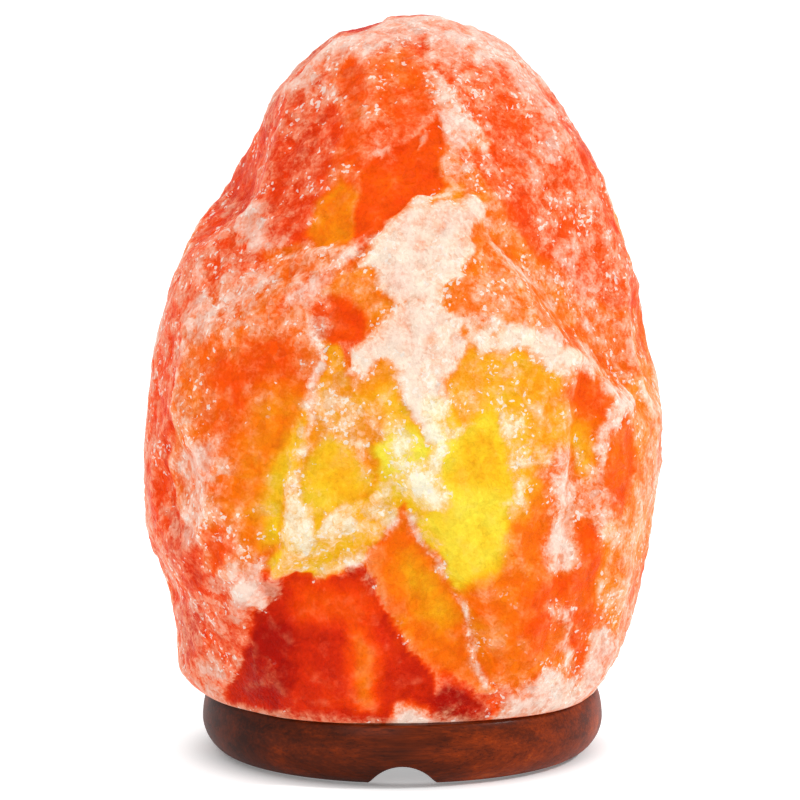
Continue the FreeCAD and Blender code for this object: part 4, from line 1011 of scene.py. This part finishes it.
def glowing_wire():
    """Tungsten at white heat, hottest in the middle of the span."""
    material, tree, output = new_material("glowing tungsten")
    mm = scaled_place(tree, 1000.0)
    across = add(tree, "ShaderNodeSeparateXYZ", mm).outputs["X"]
    cool = stretch(tree, sum_of(tree, "ABSOLUTE", across), 3.0, 6.5)
    cool = swayed(tree, cool, noise_of(tree, mm, 2.0), 0.1)
    colour = mix(tree, cool, srgb(255, 222, 150), srgb(255, 150, 60))
    surface = add(tree, "ShaderNodeBsdfPrincipled", srgb(120, 116, 112), 1.0, 0.4)
    tree.links.new(colour, surface.inputs["Emission Color"])
    surface.inputs["Emission Strength"].default_value = 1.5
    tree.links.new(surface.outputs[0], output.inputs["Surface"])
    return material


filament_turns = 26
filament_coil_radius = 0.00036
filament_wire_radius = 0.00009
coil_points = 12                    # for each turn
filament_low, filament_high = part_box("filament")


def filament_coil():
    """A close coil of fine wire along a shallow arc between the ends of the leads."""
    half = (filament_high.x - filament_low.x) / 2 - filament_coil_radius
    low = filament_low.z + filament_coil_radius + filament_wire_radius
    bow = filament_high.z - filament_wire_radius - filament_coil_radius - low
    radius = (half * half + bow * bow) / (2 * bow)
    reach = math.asin(half / radius)
    count = filament_turns * coil_points
    curve = bpy.data.curves.new("filament_coil", "CURVE")
    curve.dimensions = "3D"
    line = curve.splines.new("POLY")
    line.points.add(count)
    for number in range(count + 1):
        along = (2 * number / count - 1) * reach
        turn = 2 * math.pi * number / coil_points
        out = radius + filament_coil_radius * math.cos(turn)
        place = (out * math.sin(along), filament_coil_radius * math.sin(turn), low + bow - radius + out * math.cos(along))
        line.points[number].co = (*place, 1.0)
    curve.bevel_depth = filament_wire_radius
    curve.bevel_resolution = 1
    curve.use_fill_caps = True
    drawn = new_piece("filament_line", curve)
    shape = drawn.evaluated_get(bpy.context.evaluated_depsgraph_get())
    mesh = bpy.data.meshes.new_from_object(shape)
    bpy.data.objects.remove(drawn)
    mesh.materials.clear()
    mesh.materials.append(glowing_wire())
    return new_piece("filament_coil", mesh)


coiled_filament = filament_coil()
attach(coiled_filament, "bulb")
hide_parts("filament")

clear_glass = bulb_glass()
black_glass = grained("black glass", (12, 12, 14), (26, 24, 26), 2.0, roughness=0.16)
solder = grained("solder", (150, 152, 154), (190, 191, 192), 1.2, roughness=0.4, metallic=1.0)
nickel_wire = grained("nickel wire", (150, 146, 138), (186, 182, 174), 0.6, roughness=0.3, metallic=1.0)
for name in ("bulb_envelope", "glass_stem"):
    finish_node(name, clear_glass)
finish_node("cap_insulator", black_glass)
finish_node("cap_contact", solder)
for name in ("lead_wire_1", "lead_wire_2", "filament_supports"):
    finish_node(name, nickel_wire)


# ---- Floor and light ------------------------------------------------------------------------
# A white sweep under soft studio light: a large soft source over the right shoulder, a weaker
# one from the left, and white all round.

floor_half_width = 14.0
painted_groove_light = (0.050, 0.056)         # from the lamp's axis, where a painted light lifts the floor under the base, seen through the groove
painted_shadow_reach = (0.0545, 0.074)      # and where the painted shadow round the base fades into the white sweep
floor_mesh = bpy.data.meshes.new("floor")
corners = [(x * floor_half_width, y * floor_half_width, 0.0) for x, y in ((-1, -1), (1, -1), (1, 1), (-1, 1))]
floor_mesh.from_pydata(corners, [], [(0, 1, 2, 3)])
floor = new_piece("floor", floor_mesh)


def seen_directly(tree):
    """1 for rays from the camera, off gloss or through glass, and 0 for the light's own."""
    rays = add(tree, "ShaderNodeLightPath").outputs
    seen = sum_of(tree, "ADD", rays["Is Camera Ray"], rays["Is Glossy Ray"])
    seen = sum_of(tree, "ADD", seen, rays["Is Transmission Ray"])
    return sum_of(tree, "MINIMUM", seen, 1.0)


def white_sweep():
    material, tree, output = new_material("white sweep")
    matt = add(tree, "ShaderNodeBsdfDiffuse", srgb(240, 240, 240))
    place = add(tree, "ShaderNodeTexCoord").outputs["Object"]
    away = add(tree, "ShaderNodeVectorMath", place, settings={"operation": "LENGTH"}).outputs["Value"]
    # Painted shadow and light: seen directly, the sweep glows less close round the base, as a shadow, and more under
    # the base, as light through the groove.
    lift_and_painted_shade = stretch(tree, away, *painted_shadow_reach, 0.12, 0.60)
    lift_and_painted_shade = sum_of(tree, "ADD", lift_and_painted_shade, stretch(tree, away, *painted_groove_light, 0.30, 0.0))
    lift = add(tree, "ShaderNodeEmission", srgb(255, 255, 255), sum_of(tree, "MULTIPLY", seen_directly(tree), lift_and_painted_shade))
    both = add(tree, "ShaderNodeAddShader", matt.outputs[0], lift.outputs[0])
    clear = add(tree, "ShaderNodeBsdfTransparent")
    below = add(tree, "ShaderNodeNewGeometry").outputs["Backfacing"]
    surface = add(tree, "ShaderNodeMixShader", below, both.outputs[0], clear.outputs[0])
    tree.links.new(surface.outputs[0], output.inputs["Surface"])
    return material


floor_mesh.materials.append(white_sweep())


def soft_lamp(name, place, width, height, power):
    """A soft box that faces the middle of the lamp."""
    light = bpy.data.lights.new(name, "AREA")
    light.shape = "RECTANGLE"
    light.size, light.size_y, light.energy = width, height, power
    holder = bpy.data.objects.new(name, light)
    bpy.context.scene.collection.objects.link(holder)
    to_lamp = Vector((0.0, 0.0, 0.10)) - Vector(place)
    turned = to_lamp.to_track_quat("-Z", "Y").to_matrix().to_4x4()
    holder.matrix_world = Matrix.Translation(place) @ turned


soft_lamp("key light", (1.04, -0.34, 0.95), 0.16, 0.16, 10.0)
soft_lamp("fill light", (-0.5, -1.5, 0.9), 1.0, 1.0, 6.0)

surroundings = bpy.data.worlds.new("white studio")
surroundings.use_nodes = True
sky = surroundings.node_tree
sky.nodes.clear()
strength = stretch(sky, seen_directly(sky), 0.0, 1.0, 0.70, 1.0)
backdrop = add(sky, "ShaderNodeBackground", (1.0, 1.0, 1.0, 1.0), strength)
add(sky, "ShaderNodeOutputWorld", backdrop.outputs[0])
bpy.context.scene.world = surroundings
